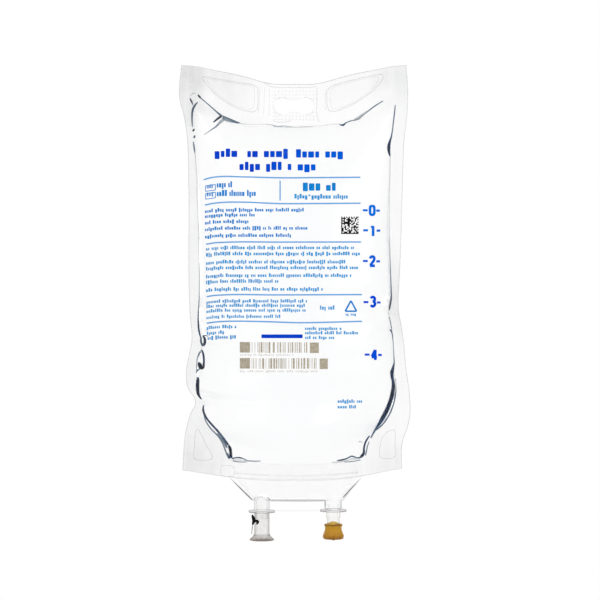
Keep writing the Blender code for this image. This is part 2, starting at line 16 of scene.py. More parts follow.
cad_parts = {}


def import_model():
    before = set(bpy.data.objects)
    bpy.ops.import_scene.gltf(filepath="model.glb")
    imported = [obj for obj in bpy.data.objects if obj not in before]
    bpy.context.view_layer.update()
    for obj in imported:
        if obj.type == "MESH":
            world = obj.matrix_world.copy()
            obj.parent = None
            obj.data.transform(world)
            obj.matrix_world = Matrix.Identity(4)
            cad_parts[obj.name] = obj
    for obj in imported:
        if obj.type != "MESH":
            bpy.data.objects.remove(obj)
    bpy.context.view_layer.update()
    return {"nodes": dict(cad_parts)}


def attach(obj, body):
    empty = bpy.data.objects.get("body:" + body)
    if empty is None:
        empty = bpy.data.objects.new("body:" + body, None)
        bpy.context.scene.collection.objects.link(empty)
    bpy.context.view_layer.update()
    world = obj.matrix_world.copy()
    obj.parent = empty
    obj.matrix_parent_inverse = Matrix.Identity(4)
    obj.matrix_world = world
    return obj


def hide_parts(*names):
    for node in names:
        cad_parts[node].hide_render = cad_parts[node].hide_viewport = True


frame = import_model()

# Film bag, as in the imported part
BAG_WIDTH = 0.127
SIDE_LENGTH = 0.2254
SEAL_WIDTH = 0.009
EDGE_DRAW = 0.0084
BOTTOM_SAG = 0.0059
FILM_THICK = 0.0003
SEAT_GAP = 0.0003
HEADER_OVER_SLOT = 0.0077
TOP_DIP = 0.0107
SEAL_UNDER_SLOT = 0.0157
CELL_RISE = 0.0166
FILL_DEPTH = 0.0475
FILL_CLEAR = 0.0005
FILL_EDGE = 0.00005
TOP_EDGE = ((0, 0), (0.2, 0.04), (0.27, 0.12), (0.36, 0.28), (0.5, 0.5), (0.7, 0.74), (0.85, 0.92), (1, 1))
CELL_TOP = ((0, 0), (0.2, 0.03), (0.38, 0.06), (0.52, 0.12), (0.66, 0.27), (0.77, 0.5), (0.88, 0.78), (1, 1))
BOTTOM_EDGE = ((-1, 0), (-0.8, 0.34), (-0.62, 0.64), (0, 1), (0.6, 0.61), (0.8, 0.17), (1, -0.25))
LEFT_DRAW = (
    (0, 0.071), (0.09, -0.012), (0.12, 0.214), (0.18, 0.464), (0.29, 0.56), (0.56, 0.595),
    (0.62, 0.655), (0.68, 0.774), (0.71, 0.631), (0.767, 0.393), (0.8, 0.536), (0.825, 0.988),
    (0.838, 1), (0.86, 0.714), (0.895, 0.429), (1, 0.155),
)
RIGHT_DRAW = (
    (0, 0.107), (0.06, 0), (0.116, 0.036), (0.185, 0.238), (0.29, 0.345), (0.48, 0.5),
    (0.556, 0.595), (0.6, 0.631), (0.635, 0.476), (0.67, 0.321), (0.75, 0.119), (0.82, -0.131),
    (0.87, -0.131), (0.9, 0.06), (0.925, 0.31), (1, 0.405),
)
LEFT_SEAL = (
    (0.078, 0.889), (0.12, 0.522), (0.18, 0.411), (0.29, 0.533), (0.437, 0.6), (0.556, 0.656),
    (0.62, 0.511), (0.69, 0.7), (0.72, 0.522), (0.767, 0.656), (0.81, 0.411), (0.835, 0.5),
)
RIGHT_SEAL = (
    (0.078, 0.933), (0.12, 0.867), (0.29, 0.789), (0.41, 0.8), (0.485, 0.611), (0.556, 0.478),
    (0.605, 0.589), (0.71, 0.667), (0.767, 0.744), (0.835, 1),
)
SHOULDER = ((0.835, 0), (0.87, 0.15), (0.897, 0.47), (0.922, 0.76), (0.945, 0.96), (0.977, 1))
FILL = ((0, 0), (0.045, 0.3), (0.11, 0.52), (0.22, 0.72), (0.4, 0.9), (0.6, 1), (0.78, 0.98), (0.9, 0.78))
ROUND_SIDE = 0.82
SADDLE_TAKEOVER = 8
PUCKERS = ((-1, 0.685), (-1, 0.831), (1, 0.605))
PUCKER_DEPTH = 0.3
PUCKER_HALF = 0.016
PUCKER_REACH = 0.016
SEAL_WAVE = 0.002
WAVE_LENGTH = 0.055
SLOT_WIDTH = 0.022
SLOT_END_R = 0.0045
SLOT_WAIST = 0.0062
RELIEF = 0.00035

# Film, in the scene alone
LIQUID_SOFTER = 2.5  # how much wider the liquid's dents are than the film's
CUT_WIDTH = 0.0004  # the film's cut edge, as it shows
RELIEF_EDGE = 0.0012  # the slope round a raised field
CREASE_BULGE = 0.004  # bulge from which creases have their full height
CREASE_CLEAR = 0.01  # height over the saddle from which they do
SEAL_BULGE = 0.0016  # bulge at which the film no longer looks welded
CUT_REACH = 0.01  # how far the cut for the slot reaches either way
EMBOSS_LIFT = 0.00002
BEAD_CREST = 0.00018
KNURL_CREST = 0.0001
PRINT_LIFT = 0.00006
SHADE_SUNK = 0.0004  # how far the rim's shades lie under the film's surface
SHADE_WIDER = 1.2

# Port saddle and ports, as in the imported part
SADDLE_X = 0.0007
SADDLE_HALF = 0.0374
SADDLE_HALF_THICK = 0.0063
SADDLE_SAG = 0.00215
SADDLE_OVER_CORNER = 0.0052
SADDLE_TIP_CLEAR = 0.0011
BAND_HEIGHT = 0.0089
FUNNEL_HEIGHT = 0.0133
FLOOR_X = 0.0021
FLOOR_HALF = 0.0255
FLOOR_HALF_THICK = 0.0058
SADDLE_WALL = 0.001
TIP_WALL = 0.0025
BOAT, BOX = 2.0, 0.4
PORT_SPACING = 0.0398
PORTS_X = 0.002
BORE_R = 0.0034
STUB_R = 0.00465
STUB_LENGTH = 0.0048
FLANGE_R = 0.0074
FLANGE_THICK = 0.0012
SET_TUBE_R = 0.0044
SET_TUBE_LENGTH = 0.0056
SET_TUBE_PROUD = 0.0002
DOME_HEIGHT = 0.0017
MEMBRANE = 0.0009
SPIKE_BORE_R = 0.00305
NOSE_WALL = 0.0005
NOSE_LENGTH = 0.0036
CAP_WALL = 0.0004
CAP_LENGTH = 0.0154
CAP_FLARE_R = 0.0068
CAP_FLARE_HEIGHT = 0.0034
CAP_RIM = 0.0009
CAP_END = 0.0008
SPIGOT_LENGTH = 0.0028
NECK_R = 0.00395
NECK_LENGTH = 0.0034
TIP_R = 0.00355
TIP_LENGTH = 0.0066
NECK_BORE_R = 0.00255
PLUG_SEAT_R = 0.0031
PLUG_SEAT_CLEAR = 0.0008
STOPPER_UNDER_FLANGE = 0.0069
STOPPER_RIM_R = 0.00505
STOPPER_RIM = 0.0006
STOPPER_WAIST_R = 0.0046
STOPPER_BULGE_R = 0.00587
STOPPER_HEIGHT = 0.0085
STOPPER_CORNER = 0.0011
PLUG_PROUD = 0.0014
NUB_R = 0.0009
NUB = 0.0006

# Ports, in the scene alone
ROUND_OFF = 0.00012  # radius of the moulded edges
CAP_LIP = 0.00025  # how far the cap's ring stands out
CAP_LIP_STOPS = ((0, 0.0029), (1, 0.0031), (1, 0.0035), (0, 0.0037))  # share of CAP_LIP, drop from the top
CAP_FLARE_STOPS = (  # share of the way out to the rim, drop from the flare's upper end
    (0, 0), (0.12, 0.0009), (0.2, 0.001), (0.2, 0.0016), (0.24, 0.0017), (0.45, 0.64 * CAP_FLARE_HEIGHT),
    (0.75, 0.86 * CAP_FLARE_HEIGHT),
)
CAP_LEDGE = 0.0013  # drop from the flare's upper end to the middle of its small ledge
CAP_LEDGE_HALF = 0.0003
# The stopper's side from its waist, in shares of the way out and down to the bulge, and the bulge down to the
# foot, in STOPPER_CORNERs in from the bulge's radius and up from the foot
STOPPER_SIDE = ((0, 0), (0.08, 0.3), (0.25, 0.5), (0.55, 0.7))
STOPPER_FOOT = ((0.25, 2.5), (0, 2), (0, 1.5), (0.2, 0.5), (0.5, 0.2), (1, 0))
CAP_FOOT_RIMS = 1.4  # height of the cap's foot, painted dark as shade, in CAP_RIMs
OFF_SIDE = 1.03  # a tube's flange starts this many times the tube's radius off the axis
TAB_OUTLINES = (  # photograph pixels
    (
        (251.4, 514.6), (252.6, 514.2), (254.2, 516), (255.6, 518.6), (255.6, 521.6), (254.4, 522.8),
        (253.4, 525), (252.2, 525.2), (251.9, 523.4), (252.3, 520.6), (251.8, 518.2),
    ),
    (
        (255.7, 519.2), (257.8, 519), (259.5, 520.9), (258.9, 522.8), (256.9, 524.3), (256.2, 523.4),
        (257, 522.2), (255.7, 521.6),
    ),
    ((252.1, 525.6), (252.8, 525.6), (252, 533.8), (251.5, 533.8)),
)
TAB_ROWS = 16
TAB_COLUMNS = 7
TAB_INSET = 0.05  # pixels that the first and last rows lie inside the outline
TAB_CLEAR = 0.0001
TAB_THICK = 0.0002
TAB_REACH = 0.94  # share of the cap's radius at which the tab leaves its side

HALF = BAG_WIDTH / 2
CORNER_Z = HEADER_OVER_SLOT + TOP_DIP
SADDLE_TOP = CORNER_Z - SIDE_LENGTH + SADDLE_OVER_CORNER
FILM_OVER_SADDLE = SADDLE_HALF_THICK + SEAT_GAP
FILM_TIP = SADDLE_HALF + SADDLE_TIP_CLEAR
FUNNEL_TOP = SADDLE_TOP - BAND_HEIGHT
FLOOR_Z = FUNNEL_TOP - FUNNEL_HEIGHT
SET_X = PORTS_X - PORT_SPACING / 2
MED_X = PORTS_X + PORT_SPACING / 2
SET_FLANGE_Z = FLOOR_Z - SET_TUBE_LENGTH
MED_FLANGE_Z = FLOOR_Z - STUB_LENGTH - SEAT_GAP

# The photograph's frame: a pixel's size at the bag, and the camera straight in front of it
PIXEL = 0.000557
MIDDLE = 300
SLOT_PIXEL = (294, 98)  # where the origin shows
EYE_DISTANCE = 1.5
SENSOR = 36
EYE = Vector(((MIDDLE - SLOT_PIXEL[0]) * PIXEL, -EYE_DISTANCE, (SLOT_PIXEL[1] - MIDDLE) * PIXEL))

# Finer grids
CELL_COLUMNS = 84
SIDE_CROWDING = 0.55
SEAL_STOPS = (0.2, 0.4, 0.6, 0.8, 0.93, 1)  # shares of the side seal's width
HEADER_STOPS = (1, 0.982, 0.93, 0.85, 0.77, 0.69, 0.61, 0.53, 0.45, 0.37, 0.29, 0.21, 0.14, 0.07)
ROW_STOPS = (0, 0.12, 0.6, 0.85, 1)
ROW_COUNTS = (16, 32, 30, 18)
BAND_STOPS = (0.15, 0.3, 0.45, 0.6, 0.8, 0.96, 1)
FUNNEL_STOPS = (0, 0.12, 0.25, 0.4, 0.55, 0.7, 0.85, 0.96, 1)
RING_POINTS = 96
ROUND_STEPS = 64
DOME_STEPS = 10
ARC_POINTS = 33

WHITE = (1, 1, 1)
BUMP_DEPTH = 0.0002

# Stage and light
GROUND_R = 1.2
STAGE_Z = -0.45
GROUND_DARK, GROUND_PALE = (0.9, 0.9, 0.9), (0.93, 0.93, 0.93)
GROUND_BOUNCED, GROUND_SEEN = 0.9, 0.5  # share of plain white in what bounced rays and the camera see of it
WORLD_LIGHT = 0.62
LIT = Vector((0, 0, -0.11))  # where the lamps point


def smooth(points, at):
    """The value at each place on a smooth curve through (place, value) points."""
    place, value = np.array(points, float).T
    slope = np.gradient(value, place)
    at = np.clip(at, place[0], place[-1])
    k = np.clip(np.searchsorted(place, at, side="right") - 1, 0, len(place) - 2)
    run = place[k + 1] - place[k]
    t = (at - place[k]) / run
    start = (2 * t**3 - 3 * t**2 + 1) * value[k] + (t**3 - 2 * t**2 + t) * run * slope[k]
    end = (3 * t**2 - 2 * t**3) * value[k + 1] + (t**3 - t**2) * run * slope[k + 1]
    return start + end


def film_edge(side, z):
    fall = (CORNER_Z - z) / SIDE_LENGTH
    draw = EDGE_DRAW * smooth(LEFT_DRAW if side < 0 else RIGHT_DRAW, fall)
    return side * (HALF - draw)


def cell_edge(side, z):
    fall = (CORNER_Z - z) / SIDE_LENGTH
    seal = SEAL_WIDTH * smooth(LEFT_SEAL if side < 0 else RIGHT_SEAL, fall)
    along = film_edge(side, z) - side * seal
    tip = SADDLE_X + side * FILM_TIP
    return along + (tip - along) * smooth(SHOULDER, fall)


def across(u, z):
    """X at a height, for u from -1 to 1 over the cell and out to -2 or 2 over the side seals."""
    left, right = cell_edge(-1, z), cell_edge(1, z)
    inside = left + (right - left) * (np.clip(u, -1, 1) + 1) / 2
    out_left = np.clip(-1 - u, 0, 1) * (film_edge(-1, z) - left)
    out_right = np.clip(u - 1, 0, 1) * (film_edge(1, z) - right)
    return inside + out_left + out_right


def top_edge(x):
    return HEADER_OVER_SLOT + TOP_DIP * smooth(TOP_EDGE, np.abs(x) / HALF)


def cell_top(u):
    return -SEAL_UNDER_SLOT + CELL_RISE * smooth(CELL_TOP, np.abs(u))


def saddle_top(x):
    off = np.clip((x - SADDLE_X) / FILM_TIP, -1, 1)
    return SADDLE_TOP - SADDLE_SAG * (1 - off**2)


def bottom_edge(x):
    return CORNER_Z - SIDE_LENGTH - BOTTOM_SAG * smooth(BOTTOM_EDGE, x / HALF)


def crown(along):
    share_at_saddle = (FILM_OVER_SADDLE - SEAT_GAP / 2) / (FILL_DEPTH / 2)
    return FILL_DEPTH / 2 * smooth(FILL + ((1, share_at_saddle),), along)


def gather(u, z, soft=1):
    """For each place, the share of the bulge that the gathers leave, and how far the seal waves."""
    fall = (CORNER_Z - z) / SIDE_LENGTH
    kept, wave = np.ones_like(z), np.zeros_like(z)
    for side, at in PUCKERS:
        off = np.clip(1 - side * u, 0, 2) * HALF / PUCKER_REACH
        dent = np.exp(-((off / soft) ** 2)) * np.exp(-(((fall - at) / (soft * PUCKER_HALF)) ** 2))
        kept -= PUCKER_DEPTH * dent
        swing = np.sin((fall - at) / WAVE_LENGTH * 2 * math.pi)
        wave += SEAL_WAVE * swing * np.exp(-(off**2)) * np.exp(-(((fall - at) / WAVE_LENGTH) ** 2))
    return kept, wave


def on_plane(x, y):
    """A photograph pixel as x and z on the bag's middle plane."""
    return (x - SLOT_PIXEL[0]) * PIXEL, (SLOT_PIXEL[1] - y) * PIXEL


# Where creases start: pixel, folds in a full turn, phase, height in metres and reach in metres
CREASES = (
    ((199, 97), 34, 0.4, 0.00045, 0.0125),
    ((386, 102), 30, 1.9, 0.0004, 0.013),
    ((203, 348), 26, 0.9, 0.0004, 0.0075),
    ((201, 402), 26, 2.2, 0.00045, 0.0085),
    ((389, 315), 24, 0.2, 0.0003, 0.007),
    ((231, 459), 30, 1.1, 0.00045, 0.011),
    ((362, 457), 30, 2.6, 0.00045, 0.011),
)


def creases(x, z):
    """Fine folds that fan out from the gathers and the cell's corners."""
    height = np.zeros_like(x)
    for pixel, folds, phase, tall, reach in CREASES:
        at_x, at_z = on_plane(*pixel)
        off = np.hypot(x - at_x, z - at_z) / reach
        turn = np.arctan2(z - at_z, x - at_x)
        ridge = np.sin(folds * turn / 2 + phase) * (0.6 + 0.4 * np.sin(folds * turn * 0.31 + 2 * phase))
        height += tall * ridge * off * np.exp(1 - 1.4 * off)
    return height


def bag_grid(soft=1, creased=True):
    """X, height, bulge and wave at every crossing of the fine grid, rows from the top down."""
    t = np.linspace(-1, 1, CELL_COLUMNS + 1)
    cell = (1 - SIDE_CROWDING) * t + SIDE_CROWDING * np.sin(t * math.pi / 2)
    seal = 1 + np.array(SEAL_STOPS)
    u = np.concatenate([-seal[::-1], cell, seal])
    stretches = zip(ROW_STOPS, ROW_STOPS[1:], ROW_COUNTS)
    along = np.concatenate([np.linspace(a, b, n, endpoint=False) for a, b, n in stretches] + [[1.0]])
    inside = np.clip(u, -1, 1)
    high = cell_top(inside)
    low = saddle_top(across(inside, np.full_like(u, SADDLE_TOP)))
    rows = []
    for share in HEADER_STOPS:
        z = high + share * (top_edge(across(u, high)) - high)
        z = high + share * (top_edge(across(u, z)) - high)
        rows.append((z, np.zeros_like(u)))
    for share in along:
        power = ROUND_SIDE + (1 - ROUND_SIDE) * share**SADDLE_TAKEOVER
        rows.append((high + share * (low - high), crown(share) * np.maximum(1 - inside**2, 0) ** power))
    over = (FILM_OVER_SADDLE - SEAT_GAP / 2) * np.maximum(1 - inside**2, 0)
    for share in BAND_STOPS:
        rows.append((low + share * (bottom_edge(across(u, low)) - low), over))
    z, bulge = (np.array(part) for part in zip(*rows))
    kept, wave = gather(np.broadcast_to(u, z.shape), z, soft)
    x = across(u, z)
    x[:, 1] = np.minimum(x[:, 0] + CUT_WIDTH, x[:, 2] - CUT_WIDTH / 2)
    x[:, -2] = np.maximum(x[:, -1] - CUT_WIDTH, x[:, -3] + CUT_WIDTH / 2)
    bulge = bulge * kept
    if creased:
        above = np.clip((z - SADDLE_TOP) / CREASE_CLEAR, 0, 1)
        bulge += creases(x, z) * np.clip(bulge / CREASE_BULGE, 0, 1) * above
    return x, z, bulge, wave


# Photograph pixels, clockwise, of the fields that stand proud of the flat film
FIELDS = {
    "left_crescent": (
        (202.2, 76.8), (206, 77), (215, 78.6), (228, 80.6), (242, 83), (254, 85.4), (257.4, 88), (257.9, 94),
        (257.8, 104), (256.6, 110), (253.4, 111.8), (247, 110.9), (236, 107.6), (224, 100.6), (213, 91.8),
        (205.2, 82.6), (202.4, 78.4),
    ),
    "right_crescent": (
        (382.4, 74.6), (378, 74.6), (368, 76.4), (352, 80), (338, 84), (330, 87.4), (327.2, 91), (326.8, 99),
        (327.4, 106), (329.2, 110.4), (333, 111.3), (340, 109.6), (349, 106), (362, 98.6), (373, 90.4),
        (380.4, 82.4), (383.2, 76.8),
    ),
    "left_corner": (
        (194, 458), (194.6, 445), (195.5, 433), (197.4, 429), (200.5, 433.5), (206, 445), (212.3, 458),
    ),
    "right_corner": (
        (380.4, 457), (380, 446), (383, 437), (388, 431.5), (394, 430), (395, 441), (394.4, 457),
    ),
    "panel": ((270, 87), (316.8, 87), (316.8, 120), (270, 120)),
}


def depth_inside(x, z, outline):
    """How far each place lies inside a closed outline, negative outside."""
    points = np.array([on_plane(*pixel) for pixel in outline])
    nearest = np.full(x.shape, np.inf)
    within = np.zeros(x.shape, bool)
    for (ax, az), (bx, bz) in zip(points, np.roll(points, -1, axis=0)):
        run, rise = bx - ax, bz - az
        t = np.clip(((x - ax) * run + (z - az) * rise) / (run**2 + rise**2), 0, 1)
        nearest = np.minimum(nearest, np.hypot(x - ax - t * run, z - az - t * rise))
        if rise:
            crosses = (az > z) != (bz > z)
            within ^= crosses & (x < ax + (z - az) * run / rise)
    return np.where(within, nearest, -nearest)


def relief(x, z):
    """Height of the raised fields over the flat film."""
    height = np.zeros_like(x)
    for outline in FIELDS.values():
        t = np.clip(depth_inside(x, z, outline) / RELIEF_EDGE + 0.5, 0, 1)
        height = np.maximum(height, RELIEF * t * t * (3 - 2 * t))
    return height


FILM_GREY = 0.002  # greyness of film over the liquid
SEAL_GREY = 0.013  # what the weld adds to it
LEFT_GREY = 0.02  # and painted shade that the left side adds, in full from LEFT_FADE pixels off the middle
LEFT_FADE = 90
# Painted shade and painted light on the welded film, where it looks greyer or clearer: pixel, reach in
# pixels, and how much
GREYER = (
    ((184, 74), 20, 0.09), ((187, 116), 22, 0.035), ((400, 78), 22, 0.045), ((270, 104), 26, -0.02),
    ((196, 464), 26, 0.04), ((393, 466), 22, 0.034), ((402, 300), 36, 0.055), ((297, 104), 24, -0.02),
    ((230, 84), 22, 0.006), ((250, 470), 22, -0.03), ((209, 97), 8, -0.035), ((220, 106), 9, -0.022),
    ((235, 114), 10, -0.016), ((368, 104), 9, -0.012), ((355, 113), 10, -0.012), ((336, 119), 12, -0.012),
    ((388, 93), 8, -0.02),
)


def greyness(x, z, bulge):
    """How grey the film is at each place: most of all where it is welded, with painted shade on the left and
    painted shade and light in patches.
    """
    seal = np.exp(-((bulge / SEAL_BULGE) ** 2))
    left = np.clip((MIDDLE - (x / PIXEL + SLOT_PIXEL[0])) / LEFT_FADE, 0, 1)
    amount = FILM_GREY + seal * (SEAL_GREY + LEFT_GREY * left)
    for pixel, reach, more in GREYER:
        at_x, at_z = on_plane(*pixel)
        amount += more * seal * np.exp(-(((x - at_x) ** 2 + (z - at_z) ** 2) / (reach * PIXEL) ** 2))
    return np.maximum(amount, FILM_GREY)


# Materials


class Shader:
    """The nodes of a new material or world. Most methods give the output of the node that they add."""

    def __init__(self, owner):
        owner.use_nodes = True
        owner.node_tree.nodes.clear()
        self.owner, self.tree = owner, owner.node_tree

    def add(self, kind, sockets=None, output=0, **settings):
        """A socket is given by name or number, and takes a value, a colour or another node's output."""
        made = self.tree.nodes.new("ShaderNode" + kind)
        for key, value in settings.items():
            setattr(made, key, value)
        for key, value in (sockets or {}).items():
            socket = made.inputs[key]
            if isinstance(value, bpy.types.NodeSocket):
                self.tree.links.new(value, socket)
            else:
                socket.default_value = (*value, 1) if socket.type == "RGBA" else value
        return made.outputs[output] if made.outputs else None

    def finish(self, surface, volume=None, kind="Material"):
        self.add("Output" + kind, {"Surface": surface, "Volume": volume} if volume else {"Surface": surface})
        return self.owner

    def math(self, operation, a, b=0, clamp=False):
        return self.add("Math", {0: a, 1: b}, operation=operation, use_clamp=clamp)

    def total(self, a, b, clamp=False):
        return self.math("ADD", a, b, clamp)

    def times(self, a, b):
        return self.math("MULTIPLY", a, b)

    def place(self):
        return self.add("TexCoord", output="Object")

    def noise(self, scale, detail, stretch=(1, 1, 1)):
        mapped = self.add("Mapping", {"Vector": self.place(), "Scale": stretch})
        return self.add("TexNoise", {"Vector": mapped, "Scale": scale, "Detail": detail}, "Fac")

    def remap(self, value, low, high, new_low, new_high):
        sockets = {"Value": value, "From Min": low, "From Max": high, "To Min": new_low, "To Max": new_high}
        return self.add("MapRange", sockets)

    def uneven(self, amount, cloud, by=0.3):
        """An amount that a cloud raises and lowers by the given share."""
        return self.remap(cloud, 0.3, 0.7, (1 - by) * amount, (1 + by) * amount)

    def mix(self, factor, a, b):
        return self.add("Mix", {0: factor, 6: a, 7: b}, 2, data_type="RGBA")

    def layer(self, factor, under, over):
        return self.add("MixShader", {0: factor, 1: under, 2: over})

    def ramp(self, value, stops):
        colour = self.add("ValToRGB", {"Fac": value})
        elements = colour.node.color_ramp.elements
        while len(elements) < len(stops):
            elements.new(0.5)
        for element, (place, tone) in zip(elements, stops):
            element.position = place
            element.color = (*tone, 1)
        return colour

    def bump(self, height, strength):
        return self.add("Bump", {"Height": height, "Strength": strength, "Distance": BUMP_DEPTH})

    def attribute(self, name):
        return self.add("Attribute", output="Fac", attribute_name=name)

    def rays(self, *kinds):
        """1 for rays of the given kinds and 0 for others."""
        path = self.add("LightPath").node.outputs
        seen = 0
        for kind in kinds:
            seen = self.math("MAXIMUM", seen, path[f"Is {kind} Ray"])
        return seen

    def steepness(self, blend, power, strength):
        """How edge on a surface is seen, from 0 to strength."""
        facing = self.add("LayerWeight", {"Blend": blend}, "Facing")
        return self.times(self.math("POWER", facing, power), strength)

    def clear(self, tint, milk, share, rough, normal=None, sheen=None):
        """Light passes with a tint, a share of it turns milky, and gloss lies over the outer side."""
        bumped = {"Normal": normal} if normal else {}
        through = self.add("BsdfTransparent", {"Color": tint})
        milky = self.add("BsdfDiffuse", {"Color": milk, **bumped})
        gloss = self.add("BsdfGlossy", {"Roughness": rough, **bumped})
        outer = self.math("SUBTRACT", 1, self.add("NewGeometry", output="Backfacing"))
        shine = self.times(self.add("Fresnel", sheen or {"IOR": 1.45}), outer)
        return self.finish(self.layer(shine, self.layer(share, through, milky), gloss))


def material(name):
    return Shader(bpy.data.materials.new(name))


def film_material():
    """Clear film: greyer where it is welded and where it is seen edge on, with painted shade and light in its
    grey; faintly milky, and glossy with a fine drawn grain.
    """
    made = material("film_skin")
    grey, cloud = made.attribute("grey"), made.noise(70, 4)
    grain = made.total(cloud, made.noise(260, 2, (1, 1, 0.1)))
    welded = made.times(grey, made.remap(grain, 0.6, 1.4, 0.55, 1.45))
    tint = made.mix(made.total(welded, made.steepness(0.35, 3, 0.12), clamp=True), WHITE, (0.4, 0.4, 0.415))
    haze = made.times(made.remap(grey, 0.002, 0.09, 0.003, 0.036), made.uneven(1, cloud))
    normal = made.bump(grain, 0.25)
    return made.clear(tint, (0.86, 0.87, 0.88), haze, 0.14, normal, {"IOR": 1.32, "Normal": normal})


def line_material(name, tint, milk, cover):
    """A cut or embossed line in the film."""
    made = material(name)
    grain = made.noise(900, 2)
    return made.clear(made.mix(grain, tint, WHITE), milk, made.uneven(cover, grain), 0.2)


def liquid_material():
    """Clear liquid, bluer the deeper it is. It bends light less than water, as in the photograph."""
    made = material("saline_liquid")
    base = made.mix(made.noise(300, 3), (0.999, 0.999, 0.999), WHITE)
    liquid = {"Base Color": base, "IOR": 1.18, "Transmission Weight": 1, "Roughness": 0}
    deep = made.add("VolumeAbsorption", {"Color": (0.9, 0.95, 1), "Density": 3})
    return made.finish(made.add("BsdfPrincipled", liquid), deep)


def moulded_material(name, edge, strength, milk, haze, base=0.012):
    """Thin clear moulded plastic: it darkens where it is seen edge on, and is a little milky."""
    made = material(name)
    cloud = made.noise(260, 4)
    depth = made.total(made.steepness(0.5, 2.6, strength), made.uneven(base, cloud, 0.7), clamp=True)
    normal = made.bump(made.total(cloud, made.noise(1600, 2)), 0.2)
    return made.clear(made.mix(depth, WHITE, edge), milk, made.uneven(haze, cloud), 0.16, normal)


# Height over the stopper, from its foot to its plug's top, and the rubber's colour there, darker at the foot
# and in the groove as painted shade
RUBBER_STOPS = (
    (0, (0.26, 0.1, 0.006)), (0.09, (0.37, 0.155, 0.008)), (0.24, (0.47, 0.22, 0.013)),
    (0.5, (0.53, 0.275, 0.016)), (0.74, (0.5, 0.26, 0.014)), (0.79, (0.25, 0.1, 0.006)),
    (0.845, (0.23, 0.09, 0.006)), (0.862, (0.74, 0.46, 0.05)),
)


def rubber_material():
    """Amber rubber: darker in the groove and at the foot as painted shade, with dark spots low down and a
    dull skin.
    """
    made = material("amber_rubber_skin")
    height = made.add("SeparateXYZ", {0: made.place()}, "Z")
    rim = MED_FLANGE_Z - FLANGE_THICK - STOPPER_UNDER_FLANGE
    rise = made.remap(height, rim - STOPPER_HEIGHT, rim + PLUG_PROUD, 0, 1)
    cloud = made.noise(400, 4)
    level = made.total(rise, made.remap(cloud, 0, 1, -0.04, 0.04))
    patches = made.remap(made.noise(750, 2, (1, 1, 1.6)), 0.5, 0.64, 0, 0.75)
    spots = made.times(patches, made.remap(rise, 0.06, 0.3, 1, 0))
    rubber = {
        "Base Color": made.mix(spots, made.ramp(level, RUBBER_STOPS), (0.12, 0.035, 0.003)),
        "Roughness": 0.5, "Specular IOR Level": 0.25, "Normal": made.bump(cloud, 0.2),
        "Sheen Weight": 0.3, "Sheen Tint": (1, 0.66, 0.08), "Sheen Roughness": 0.3,
        "Subsurface Weight": 0.25, "Subsurface Scale": 0.0015, "Subsurface Radius": (1, 0.5, 0.15),
    }
    return made.finish(made.add("BsdfPrincipled", rubber))


BRIGHT_PLACE = (350, 190)  # pixel around which a painted pool of light makes the blue print brighter
BRIGHT_Y = -0.018
BRIGHT_NEAR, BRIGHT_FAR = 0.024, 0.056  # distances at which that starts to fade and has gone


def ink_material(name, colour, lighter, bright=None):
    """Printing ink, a little uneven; with bright, a painted pool of light turns it to that colour towards the
    upper right.
    """
    made = material(name)
    mixed = made.mix(made.remap(made.noise(1400, 3), 0.35, 0.7, 0, 1), colour, lighter)
    if bright:
        at_x, at_z = on_plane(*BRIGHT_PLACE)
        ends = {0: made.place(), 1: (at_x, BRIGHT_Y, at_z)}
        off = made.add("VectorMath", ends, "Value", operation="DISTANCE")
        mixed = made.mix(made.remap(off, BRIGHT_NEAR, BRIGHT_FAR, 1, 0), mixed, bright)
    ink = {"Base Color": mixed, "Roughness": 0.4, "Specular IOR Level": 0.02}
    return made.finish(made.add("BsdfPrincipled", ink))


def shade_material(name, stops):
    """The dark lines that a steep rim of clear stuff shows where it bends the light away."""
    made = material(name)
    tone, side, run = (made.attribute(word) for word in ("tone", "side", "run"))
    streak = made.add("CombineXYZ", {0: made.times(run, 0.12), 1: made.times(side, 1.6), 2: tone})
    grain = made.add("TexNoise", {"Vector": streak, "Scale": 1.7, "Detail": 2}, "Fac")
    level = made.total(tone, made.remap(grain, 0.3, 0.7, -0.13, 0.13), clamp=True)
    far = made.math("POWER", made.math("ABSOLUTE", side), 7)
    cover = made.times(made.math("SUBTRACT", 1, far, clamp=True), made.attribute("cover"))
    dark = {"Base Color": made.ramp(level, stops), "Roughness": 0.4, "Specular IOR Level": 0.05}
    return made.finish(made.layer(cover, made.add("BsdfTransparent"), made.add("BsdfPrincipled", dark)))


FILM = film_material()
# Painted shade: the cut edges' grey stands in for the light that they turn away.
CUT_EDGE = line_material("film_cut_edge", (0.86, 0.86, 0.87), (0.7, 0.7, 0.72), 0.08)
EMBOSS = line_material("film_emboss", (0.84, 0.84, 0.86), (0.75, 0.75, 0.77), 0.08)
KNURL = line_material("film_knurl", (0.955, 0.955, 0.965), (0.9, 0.9, 0.92), 0.02)
LIQUID = liquid_material()
CLEAR_MILK, CLEAR_EDGE = (0.82, 0.82, 0.82), (0.5, 0.5, 0.52)
MOULDED = moulded_material("moulded_plastic", (0.3, 0.3, 0.32), 0.7, CLEAR_MILK, 0.01, 0.009)
# Inner sides take lighter copies, with less of the edge-on darkening and less haze.
MOULDED_INSIDE = moulded_material("moulded_inside", CLEAR_EDGE, 0.1, CLEAR_MILK, 0.005, 0.005)
STUB_INSIDE = moulded_material("stub_inside", CLEAR_EDGE, 0.02, CLEAR_MILK, 0.004, 0.004)
# Painted reflection: the neck's warm tint stands in for the amber stopper's light in it.
NECK = moulded_material("neck_plastic", (0.42, 0.4, 0.34), 0.75, (0.88, 0.8, 0.56), 0.045, 0.006)
